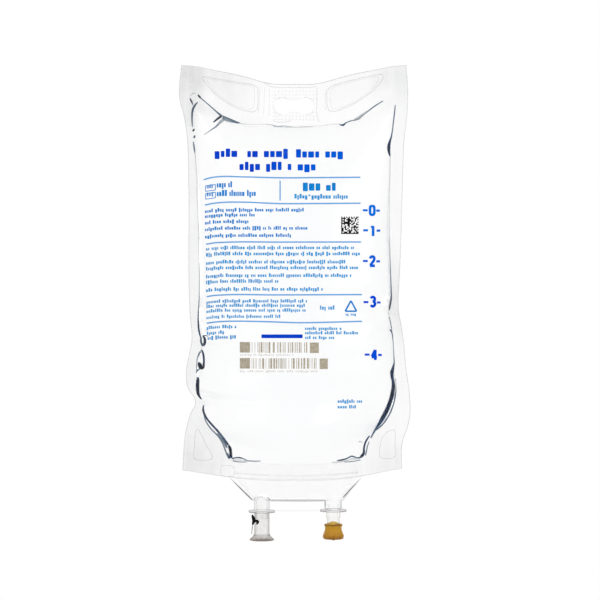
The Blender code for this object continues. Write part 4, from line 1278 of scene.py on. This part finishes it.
# Dark refraction lines round the cell: (x, y, width, tone) in photograph pixels, and tone from grey to black
SHADES = (
    ((190.6, 96, 0.8, 0.2), (191.8, 94, 0.8, 0.15), (193.6, 92.9, 0.8, 0.15), (196, 94, 0.8, 0.2)),
    ((197.6, 94.2, 1, 0.5), (199.1, 96.2, 1.9, 1), (201, 98.4, 1.3, 0.7)),
    (
        (200, 97.4, 1, 0.6), (206, 102.5, 1, 0.5), (213, 108.6, 1.1, 0.5), (218.5, 113.4, 1.6, 0.55),
        (222, 116.3, 2.2, 0.7),
    ),
    ((222.4, 115.6, 1.6, 0.8), (219.5, 117.4, 2.2, 1), (216.5, 119.6, 1.9, 0.95), (213, 122.6, 1, 0.6)),
    (
        (225.5, 118.2, 3, 0.25), (221, 121.4, 2.6, 0.25), (216.5, 126, 1.7, 0.3), (210, 130.6, 1.1, 0.3),
        (203.6, 134.9, 0.8, 0.2),
    ),
    (
        (222, 117.2, 2.2, 0.35), (227, 119.5, 3.6, 0.3), (232, 121, 2.8, 0.35), (236, 122.2, 2, 0.5),
        (240.4, 123.1, 1, 0.45),
    ),
    ((222, 115.6, 1, 0.55), (229, 118.4, 0.9, 0.45), (235, 121, 0.9, 0.5), (239.5, 122.9, 0.8, 0.4)),
    ((189.8, 97.8, 1, 0.5), (190.9, 100.3, 1.6, 0.95), (192.2, 103, 1.3, 0.8), (192.7, 105.5, 0.9, 0.4)),
    (
        (197.9, 101.8, 0.9, 0.45), (195.6, 104.4, 1.6, 0.65), (193.4, 107.9, 2.1, 0.65),
        (192.3, 112, 1.8, 0.6), (192, 117, 1.5, 0.6), (192.1, 123, 1.2, 0.5), (192.5, 127.4, 0.9, 0.3),
    ),
    ((194.8, 128.6, 1, 0.6), (193.6, 130, 1.9, 1), (192.4, 131.6, 1.2, 0.7)),
    ((195.2, 135, 1.2, 0.5), (194.4, 136.8, 1.8, 0.7), (193.6, 138.6, 1.4, 0.4)),
    ((193.2, 141, 1, 0.3), (193.7, 145, 1.4, 0.4), (194.4, 149.5, 1.5, 0.4), (194.9, 153.5, 1, 0.25)),
    (
        (194.9, 152, 0.9, 0.1), (196.3, 175, 0.8, 0), (197.2, 200, 0.8, 0), (198.3, 230, 0.8, 0),
        (199.1, 262, 0.9, 0.1), (199.3, 290, 1, 0.2), (198.6, 310, 1.2, 0.35), (198.2, 322, 1.3, 0.5),
    ),
    (
        (198.2, 310, 1, 0.3), (198.2, 322, 1.5, 0.6), (198.8, 329.5, 1.7, 0.7), (200.2, 336, 1.4, 0.6),
        (201.6, 341, 1, 0.4),
    ),
    ((202.6, 335.4, 0.9, 0.35), (205.5, 335.5, 0.9, 0.45), (208.6, 336.4, 0.8, 0.35)),
    (
        (202.6, 335.2, 1.3, 0.6), (204.6, 338.6, 2.2, 0.85), (204.9, 342.4, 2.3, 0.85),
        (203.4, 346.4, 1.9, 0.75),
    ),
    ((201.2, 336.6, 1.2, 0.5), (200.9, 341, 1.8, 0.55), (202, 344.6, 1.8, 0.65), (203, 346.8, 1.6, 0.7)),
    (
        (201.4, 349.2, 1.2, 0.7), (203, 353.4, 1.9, 0.8), (203.8, 358.6, 1.9, 0.8), (203.8, 363.5, 2, 0.85),
        (203, 367.6, 2.4, 0.97), (201, 369.5, 1.8, 0.95),
    ),
    (
        (201, 350.6, 1.2, 0.5), (198.8, 354.4, 1.6, 0.35), (197.3, 358.4, 1.4, 0.25), (196.6, 364, 1.1, 0.2),
        (196.9, 369.5, 1.1, 0.45), (196.5, 373.6, 1.1, 0.5),
    ),
    ((198.4, 361.6, 1.4, 0.6), (199.6, 364.6, 3.8, 1), (200.7, 367.4, 4.4, 1), (201.6, 369.6, 2.4, 0.95)),
    ((199.6, 368.6, 1.4, 0.6), (198, 370.2, 1.2, 0.5), (196.8, 372.6, 0.9, 0.3)),
    (
        (197.7, 376.4, 1.4, 0.6), (197.8, 379.5, 2.8, 0.9), (197.6, 384, 3.2, 0.95), (197.6, 389, 3.3, 0.95),
        (198.1, 393.6, 2.8, 0.9), (199.8, 397, 1.9, 0.85), (201.8, 399.6, 1, 0.6),
    ),
    (
        (203.8, 404.6, 0.9, 0.5), (203.1, 408.4, 1.7, 0.8), (203.7, 412.4, 2.1, 0.9), (206.4, 418, 1.9, 0.8),
        (211.2, 424, 1.9, 0.7), (216, 429.2, 1.9, 0.75), (220.8, 434.8, 2, 0.7), (225.4, 441, 2, 0.7),
        (228.6, 445.4, 1.9, 0.8),
    ),
    (
        (203.4, 413, 0.9, 0.3), (205.5, 420.4, 1.1, 0.4), (210.2, 428, 1.2, 0.45), (215.2, 433.2, 1.3, 0.45),
        (219.2, 437.6, 1.3, 0.4), (222.4, 443.2, 1.3, 0.35), (225, 449.6, 1.3, 0.4),
        (227.6, 456.4, 1.5, 0.45),
    ),
    ((217.5, 432.6, 2.4, 0.3), (221.6, 438, 2.8, 0.35), (224.8, 443.4, 2.6, 0.35), (227, 448.4, 2, 0.3)),
    (
        (228.2, 444.6, 1.6, 0.85), (229.9, 448.2, 2.9, 0.97), (230.6, 452, 2.8, 1), (230.8, 455.6, 2.9, 0.95),
        (231.2, 458.6, 2.6, 0.8),
    ),
    ((226.8, 452.4, 1.6, 0.35), (228.4, 456.4, 2.2, 0.5), (230, 459.2, 2.4, 0.7)),
    (
        (231.4, 458.9, 1.6, 0.6), (235, 457.9, 1.3, 0.5), (239, 457.7, 1.4, 0.7), (242.6, 458.4, 1.1, 0.5),
        (247.4, 460.6, 1, 0.4), (254, 461.2, 1, 0.45), (261, 461, 0.8, 0.3),
    ),
    ((232.6, 459.9, 1.2, 0.1), (238, 460.2, 2.2, 0.05), (244, 460.9, 1.6, 0.05), (249, 461.4, 1, 0.15)),
    ((232.4, 461.2, 0.8, 0.35), (239, 462, 0.8, 0.3), (246.5, 462.2, 0.8, 0.3)),
    (
        (383.6, 100.6, 0.9, 0.35), (376.5, 104.9, 1.1, 0.5), (370, 109.6, 1.2, 0.45), (363, 115.2, 1.1, 0.35),
        (357, 120, 1, 0.3),
    ),
    ((368, 110.6, 1.2, 0.1), (362.6, 114.6, 2.6, 0.15), (358.2, 118.2, 3, 0.2), (354, 119.8, 2, 0.2)),
    (
        (357, 119.8, 1.3, 0.3), (351, 120.8, 1.2, 0.3), (346, 122.8, 1.2, 0.4), (343, 125, 1.9, 0.65),
        (341.4, 125, 1.6, 0.55), (339, 124, 1, 0.3),
    ),
    ((340, 123.9, 0.9, 0.1), (331, 124.3, 0.8, 0), (322, 125.6, 0.8, 0), (311, 126.4, 0.8, 0)),
    (
        (239.8, 123.4, 0.9, 0.15), (250, 124.3, 0.8, 0), (262, 124.2, 0.8, 0), (271, 124.8, 1, 0.15),
        (278, 126.4, 1.1, 0.25), (284, 126, 1, 0.2), (290, 126.6, 1.1, 0.15), (297, 126.1, 0.8, 0),
        (306, 126.6, 1.1, 0.1), (313, 126.3, 0.8, 0),
    ),
    (
        (395.3, 104.6, 0.9, 0.4), (394.4, 114, 1.2, 0.5), (393.3, 123, 1.2, 0.4), (392.2, 132, 1.3, 0.45),
        (391, 138.6, 1.6, 0.5),
    ),
    (
        (391.6, 136, 1.2, 0.5), (390.2, 140.4, 2, 0.7), (389, 145, 2.9, 0.85), (388.8, 149.6, 2.9, 0.85),
        (389.4, 153.6, 2, 0.8), (390.3, 156.8, 1, 0.5),
    ),
    (
        (390.2, 156.6, 0.9, 0.1), (390.2, 175, 0.8, 0), (389.7, 200, 0.8, 0.05), (389.4, 225, 0.9, 0.1),
        (389.9, 250, 1, 0.2), (390.4, 270, 1.1, 0.3), (391, 285, 1.2, 0.35), (391.4, 296, 1.2, 0.5),
    ),
    ((391.5, 293, 1, 0.4), (391.1, 299, 1.6, 0.7), (390.2, 304.6, 1.7, 0.75), (389.2, 310.6, 1, 0.45)),
    ((388.5, 312.4, 0.8, 0.3), (388.3, 314, 1, 0.35)),
    ((388.9, 316, 0.8, 0.25), (390.2, 321, 0.9, 0.35), (391.2, 326, 0.9, 0.4), (391.8, 330, 0.9, 0.4)),
    (
        (389.4, 329.2, 1.2, 0.6), (391, 330.6, 1.4, 0.65), (392.2, 334, 1.1, 0.5), (393, 340, 0.8, 0.35),
        (393.6, 349, 0.8, 0.35), (394, 357, 0.9, 0.45), (394.3, 364, 1.3, 0.6),
    ),
    (
        (394.3, 362.6, 1.2, 0.6), (393.2, 367.4, 2.4, 0.75), (392, 372.4, 3.6, 0.85), (392.2, 377, 3, 0.8),
        (393, 381, 2.8, 0.7), (393.4, 385.6, 3.4, 0.85), (392.8, 391, 3.8, 0.9), (391.4, 398, 3.9, 0.9),
        (388.8, 405.6, 4, 0.85), (385.4, 413, 4.2, 0.8), (381.6, 420, 3.8, 0.75), (378, 425.6, 2.6, 0.65),
        (374.6, 431, 1.8, 0.55), (370.6, 438.6, 1.2, 0.5),
    ),
    (
        (395.6, 378, 1, 0.15), (396, 386, 1, 0.2), (395.7, 393, 1.2, 0.45), (394.3, 401, 1.3, 0.5),
        (391.8, 409, 1.3, 0.45), (388.2, 416.6, 1.3, 0.4), (383.4, 423.6, 1.3, 0.45),
        (378.4, 428.4, 1.2, 0.5), (375.6, 430.6, 1, 0.5),
    ),
    (
        (369.8, 435.6, 1.2, 0.6), (367, 439.4, 1.6, 0.7), (364.9, 444, 1.8, 0.75), (363.9, 449, 1.9, 0.75),
        (363.8, 453, 2.4, 0.85), (361.6, 456.2, 2.6, 0.85), (359.8, 457.2, 1.6, 0.7),
    ),
    ((369.4, 441, 0.8, 0.3), (367.4, 446.6, 1, 0.4), (366.4, 451.6, 1.1, 0.4), (365.2, 455.8, 1.2, 0.4)),
    ((358.6, 443, 0.8, 0.1), (359.6, 441.6, 0.8, 0.2), (361.4, 441.6, 0.8, 0.2), (362.6, 443.6, 0.8, 0.1)),
    (
        (362.2, 457.2, 1.4, 0.6), (357.5, 457.8, 1.2, 0.5), (351.6, 456.3, 1.4, 0.5),
        (346.4, 458.7, 1.3, 0.55), (340.4, 460.2, 1.4, 0.75), (336.4, 460.7, 0.9, 0.4),
    ),
    (
        (360.4, 458.9, 1, 0.1), (353.6, 458.8, 1.9, 0.1), (347, 460.4, 1.4, 0.1), (340, 461.8, 1, 0.2),
        (331, 462.4, 0.8, 0.1),
    ),
    ((361, 459.9, 0.8, 0.35), (353, 461.4, 0.8, 0.35), (344, 462.2, 0.8, 0.3)),
)
# Painted shade: the funnel's sides and floor show as dark lines, which run inside the moulding's thick ends
SIDE_LINES = (
    (
        (230.2, 478.2, 0.8, 0.05), (236, 484, 1.2, 0.25), (243, 490.9, 1.5, 0.35), (249.6, 497.3, 1.5, 0.4),
        (252.8, 500.4, 1.2, 0.25),
    ),
    (
        (361, 478.2, 0.8, 0.05), (356, 483.4, 1.2, 0.25), (350.6, 489, 1.4, 0.35), (345, 495.4, 1.4, 0.4),
        (342.2, 498.4, 1, 0.25),
    ),
    ((270.4, 500.9, 0.8, 0.1), (290, 501.2, 0.9, 0.12), (310, 501.2, 0.9, 0.12), (324.6, 500.9, 0.9, 0.15)),
    ((325.2, 500, 1.6, 0.25), (325.2, 504, 1.6, 0.25), (325.2, 508.8, 1.4, 0.2)),
    ((340.9, 499.4, 0.9, 0.1), (340.9, 504, 0.9, 0.1), (340.9, 508.8, 0.9, 0.15)),
)
rim_shades = Strips("rim_shades", SHADE, -SHADE_SUNK, 0, 9, "clear_film")
for line in SHADES:
    rim_shades.add([(x, y, wide * SHADE_WIDER, tone) for x, y, wide, tone in line], step=0.6, fade=0.9)
rim_shades.build(shade=True)
side_lines = Strips("funnel_side_lines", SHADE_GREY, 0, 0, 7, "clear_plastic", "plane")
for line in SIDE_LINES:
    side_lines.add(line, step=0.8, fade=1.5)
side_lines.build(shade=True)


# Print

MARGIN = 226  # where the print's left margin starts to droop
MARGIN_RUN = 22  # a run from there, and the droop after it
MARGIN_DROOP = 1.9
LARGE_GLYPH = 3  # blocks wider than this have blunt ends
BLUNT = 0.5  # length of such an end
BLUNT_HEIGHT = 0.8  # share of the block's height left at its tip
WORD_LENGTHS = (2, 3, 4, 4, 5, 6, 7, 8, 9)
NARROWEST, WIDEST = 0.7, 1.25
TALL_CHANCE, DEEP_CHANCE = 0.3, 0.12
DEEP_SHARE = 0.8  # how far a block goes down, as a share of how far one goes up
WORD_GAP = 0.75  # more gap between words, in blocks


def droop(x):
    """How much lower the print's left margin lies, where the film curves away."""
    return MARGIN_DROOP * max(0, (MARGIN - x) / MARGIN_RUN) ** 2


def words(strips, left, right, middle, tall, seed, glyph=1.6, gap=0.55, ascender=0.45):
    """A line of small blocks in word-like groups, in place of lettering."""
    draw = random.Random(seed)
    x = left
    while x < right - glyph:
        for _ in range(draw.choice(WORD_LENGTHS)):
            wide = glyph * draw.uniform(NARROWEST, WIDEST)
            if x + wide > right:
                break
            up = ascender if draw.random() < TALL_CHANCE else 0
            down = ascender * DEEP_SHARE if draw.random() < DEEP_CHANCE else 0
            high, y = tall * (1 + up + down), middle + tall * (down - up) / 2 + droop(x + wide / 2)
            if glyph > LARGE_GLYPH:
                ends = (x, BLUNT_HEIGHT), (x + BLUNT, 1), (x + wide - BLUNT, 1), (x + wide, BLUNT_HEIGHT)
                strips.add([(px, y, high * share, 1) for px, share in ends], step=BLUNT, straight=True)
            else:
                strips.straight((x, y), (x + wide, y), high, 9)
            x += wide + gap
        x += gap + glyph * WORD_GAP


# Lines of large blocks: left end, right end, middle height, and for the amount also the blocks' height, seed,
# width, gap and ascender
TITLE = (
    (214.6, 243.3, 153.9), (247.3, 291, 154.1), (296, 346, 154.5), (239.4, 292.6, 167), (297.6, 320.6, 167.4),
)
AMOUNT = ((302.8, 322, 187, 7.4, 6, 5.2, 1.1, 0.1), (326, 341, 187.9, 5.8, 8, 5.2, 1.2, 0.4))
DARK_BAR = (261.4, 334.4, 302.6, 338.2)
FRAMES = (
    ((205.6, 185.8), (215.4, 184.4), (215.4, 190), (205.6, 191.4)),
    ((205.6, 193.6), (215.4, 192.2), (215.4, 197.8), (205.6, 199.2)),
)
TRIANGLE = ((350.9, 300.8), (356.6, 311.2), (345.2, 311.2))
title = Strips("print_title", INK)
for k, line in enumerate(TITLE):
    words(title, *line, 6.2, 1 + k, 4.9, 1.2, 0.36)
title.box(*DARK_BAR)
title.build()
bold = Strips("print_bold", INK_BOLD)
for line in AMOUNT:
    words(bold, *line)
for corners in FRAMES:
    bold.frame(corners, 0.8)
bold.frame(TRIANGLE, 1.7)
bold.build()

RULES = (
    ((203.6, 179.8), (210, 177.9), (219, 176.7), (243.5, 176.9), (280, 177.8), (320, 177.6), (360.4, 177.3)),
    ((204.8, 205.1), (213, 203.4), (225, 202.3), (238, 202.1), (280, 203.6), (320, 203.5), (360.6, 203.2)),
    ((206, 244.3), (214, 242.9), (225, 242.3), (280, 242.1), (361, 242)),
    ((206.6, 296.7), (213, 295.6), (222, 295), (275, 294.9), (362, 294.6)),
    (
        (206.6, 323.3), (213, 322.3), (225, 321.4), (241, 321.2), (270, 321.8), (298, 322.7), (330, 322.2),
        (362, 321.3),
    ),
)
UPRIGHT = ((280.1, 180.6), (280.1, 200.6))
rules = Strips("print_rules", INK_RULE)
for line in RULES:
    rules.add(line, 1.45, 2)
rules.straight(*UPRIGHT, 1.3)
rules.build()

# Lines of small print: left end, right end, middle height, height and width of the blocks
LINES = (
    (216.8, 233, 185.2, 4.2, 1.9), (216.8, 256, 193.9, 4.2, 1.9), (206.8, 214.4, 185.9, 2.6, 1.2),
    (206.8, 214.4, 193.7, 2.6, 1.2), (294.4, 307.6, 196.9, 3.2, 2), (311.5, 347.8, 197, 3.2, 2),
    (205, 304.6, 210.2, 2.5, 1.6), (205, 254.8, 215.2, 2.5, 1.6), (205, 250, 221.8, 2.5, 1.6),
    (205, 311, 228.4, 2.5, 1.6), (205, 293, 235.6, 2.5, 1.6), (206, 355, 248, 2.5, 1.6),
    (206, 360, 254, 2.5, 1.6), (206, 349, 262.2, 2.5, 1.6), (206, 359, 267.9, 2.5, 1.6),
    (206, 353, 275.7, 2.5, 1.6), (206, 279.6, 281.5, 2.5, 1.6), (206, 323, 289.4, 2.5, 1.6),
    (206.4, 308.6, 301.3, 2.3, 1.5), (206.4, 308, 305.7, 2.3, 1.5), (206.4, 307, 310.5, 2.3, 1.5),
    (206.4, 281, 316.7, 2.3, 1.5), (320, 336.4, 308.2, 3, 1.8), (345.6, 356.4, 314.6, 2, 1.3),
    (206.6, 236.6, 327, 2.3, 1.5), (206.8, 224, 332.4, 2.3, 1.5), (207.6, 236.8, 337.4, 2.3, 1.5),
    (305, 342.4, 328.8, 2.3, 1.6), (305, 360.4, 333.2, 2.3, 1.5), (305, 334.4, 337.9, 2.3, 1.5),
    (337.6, 363.6, 401.6, 2.4, 1.6), (337.6, 356, 407.2, 2.4, 1.6),
)
DARK_LINES = (0, 1, 2, 3, 6, 7, 8, 9, 10)
HYPHEN = ((309.4, 194.4), (309.4, 196.2))
text, dark = Strips("print_lines", INK_TEXT), Strips("print_dark_lines", INK_BOLD)
for k, (*line, glyph) in enumerate(LINES):
    words(dark if k in DARK_LINES else text, *line, 20 + k, glyph)
text.straight(*HYPHEN, 1.8)
text.build()
dark.build()

# The scale's numerals, each as strokes in a box of 6 by 11 pixels
NUMERALS = {
    0: (
        (
            (3, 0.9), (1.2, 1.8), (0.9, 3.6), (0.9, 7.4), (1.2, 9.2), (3, 10.1), (4.8, 9.2), (5.1, 7.4),
            (5.1, 3.6), (4.8, 1.8), (3, 0.9),
        ),
    ),
    1: (((1.6, 2.5), (3.4, 1)), ((3.5, 0.6), (3.5, 10.8))),
    2: (
        ((0.9, 2.9), (1.5, 1.3), (3, 0.8), (4.6, 1.4), (5, 3.1), (4.4, 5), (2.6, 7.4), (1.1, 9.9)),
        ((0.6, 10.1), (5.6, 10.1)),
    ),
    3: (
        ((1, 2.2), (2, 0.95), (3.7, 0.95), (4.8, 2.2), (4.6, 4.2), (2.9, 5.2)),
        ((2.9, 5.2), (4.7, 6.1), (5, 8.3), (3.9, 9.9), (2.1, 10.1), (0.9, 8.8)),
    ),
    4: (((4.1, 0.6), (0.8, 7.4)), ((0.5, 7.8), (5.9, 7.8)), ((4.2, 0.6), (4.2, 10.8))),
}
# Each numeral's left and upper edge, and the middle height of its dashes
MARKS = (
    (0, 369.2, 204.8, 210.3), (1, 369.6, 225.3, 230.3), (2, 369.3, 255.7, 261), (3, 369.9, 296.2, 302.1),
    (4, 371.1, 349.2, 354.6),
)
# Its dashes' left, top, right and bottom, from that left edge and that middle
DASHES = ((-6.4, -1.1, -1.5, 1.1), (7, -0.8, 10.7, 1.5))
scale = Strips("print_scale", INK_SCALE)
for digit, left, top, middle in MARKS:
    for stroke in NUMERALS[digit]:
        scale.add([(left + x, top + y) for x, y in stroke], 2.75, 0.7)
    for ax, ay, bx, by in DASHES:
        scale.box(left + ax, middle + ay, left + bx, middle + by)
scale.build()

# Rows of bars: right end, left edge of the last bar, upper and lower edge, and seed
BARS = ((318.8, 309.8, 342, 352.6, 31), (327.8, 319.6, 358, 368.6, 32))
BARS_LEFT = 239.8
FIRST_BAR = 10.2
BAR_WIDTHS, BAR_GAPS = (0.5, 0.7, 0.9, 1.3, 1.9), (0.8, 1.1, 1.6, 2.4)
FAINT_LINES = ((240, 294, 355, 1.6, 41, 1.3), (240, 318, 371.4, 1.6, 42, 1.3))
bars = Strips("print_bars", INK_TAUPE)
for right, last, top, bottom, seed in BARS:
    bars.box(BARS_LEFT, top, BARS_LEFT + FIRST_BAR, bottom)
    bars.box(last, top + 0.5, right, bottom + 0.5)
    draw = random.Random(seed)
    x = BARS_LEFT + 12
    while x < last - 2:
        wide = draw.choice(BAR_WIDTHS)
        bars.box(x, top + 0.2, x + wide, bottom + 0.1)
        x += wide + draw.choice(BAR_GAPS)
bars.build()

faint = Strips("print_faint_lines", INK_FAINT)
for line in FAINT_LINES:
    words(faint, *line)
faint.build()

CELLS = 14
CELL = 17.4 / CELLS
CODE_LEFT, CODE_TOP = 341.2, 216.6
DARK_CHANCE = 0.56
code = Strips("print_checks", INK_BLACK)
draw = random.Random(9)
for row in range(CELLS):
    for column in range(CELLS):
        solid = row == CELLS - 1 or column == 0
        dotted = (row == 0 and column % 2 == 0) or (column == CELLS - 1 and row % 2 == 0)
        if solid or dotted or (0 < row and column < CELLS - 1 and draw.random() < DARK_CHANCE):
            x, y = CODE_LEFT + column * CELL, CODE_TOP + row * CELL
            code.box(x, y, x + CELL, y + CELL, 9)
code.build()


# Stage, light and camera


def stage():
    bm = bmesh.new()
    bmesh.ops.create_circle(bm, cap_ends=True, segments=96, radius=GROUND_R)
    floor = link("floor", mesh_of(bm, "floor"), (0, 0, STAGE_Z))
    made = material("pale_floor")
    lit = made.add("BsdfDiffuse", {"Color": made.mix(made.noise(8, 2), GROUND_DARK, GROUND_PALE)})
    white = made.add("Emission", {"Color": WHITE, "Strength": 1})
    bounced = made.times(made.rays("Glossy", "Transmission"), GROUND_BOUNCED)
    seen = made.math("MAXIMUM", bounced, made.times(made.rays("Camera"), GROUND_SEEN))
    floor.data.materials.append(made.finish(made.layer(seen, lit, white)))


def world():
    """White as far as it is seen, and dimmer as a light."""
    made = Shader(bpy.data.worlds.new("studio"))
    strength = made.remap(made.rays("Camera", "Glossy", "Transmission"), 0, 1, WORLD_LIGHT, 1)
    made.finish(made.add("Background", {"Color": WHITE, "Strength": strength}), kind="World")
    bpy.context.scene.world = made.owner


def lamp(name, place, size, power):
    data = bpy.data.lights.new(name, "AREA")
    data.size = size
    data.energy = power
    made = link(name, data, place)
    made.rotation_euler = (LIT - made.location).to_track_quat("-Z", "Y").to_euler()


def camera():
    data = bpy.data.cameras.new("photo_view")
    data.sensor_width = SENSOR
    data.lens = SENSOR * EYE_DISTANCE / (2 * MIDDLE * PIXEL)
    data.clip_end = 20
    made = link("photo_view", data, EYE)
    made.rotation_euler = (math.pi / 2, 0, 0)
    bpy.context.scene.camera = made


stage()
world()
lamp("key", (-0.7, -1, 0.6), 0.6, 5)
lamp("fill", (0.9, -0.8, 0.2), 0.8, 3)
lamp("behind", (0.2, 1, 0.6), 0.7, 3)
camera()
bpy.context.scene.view_settings.view_transform = "Standard"
bpy.context.scene.cycles.transparent_max_bounces = 48
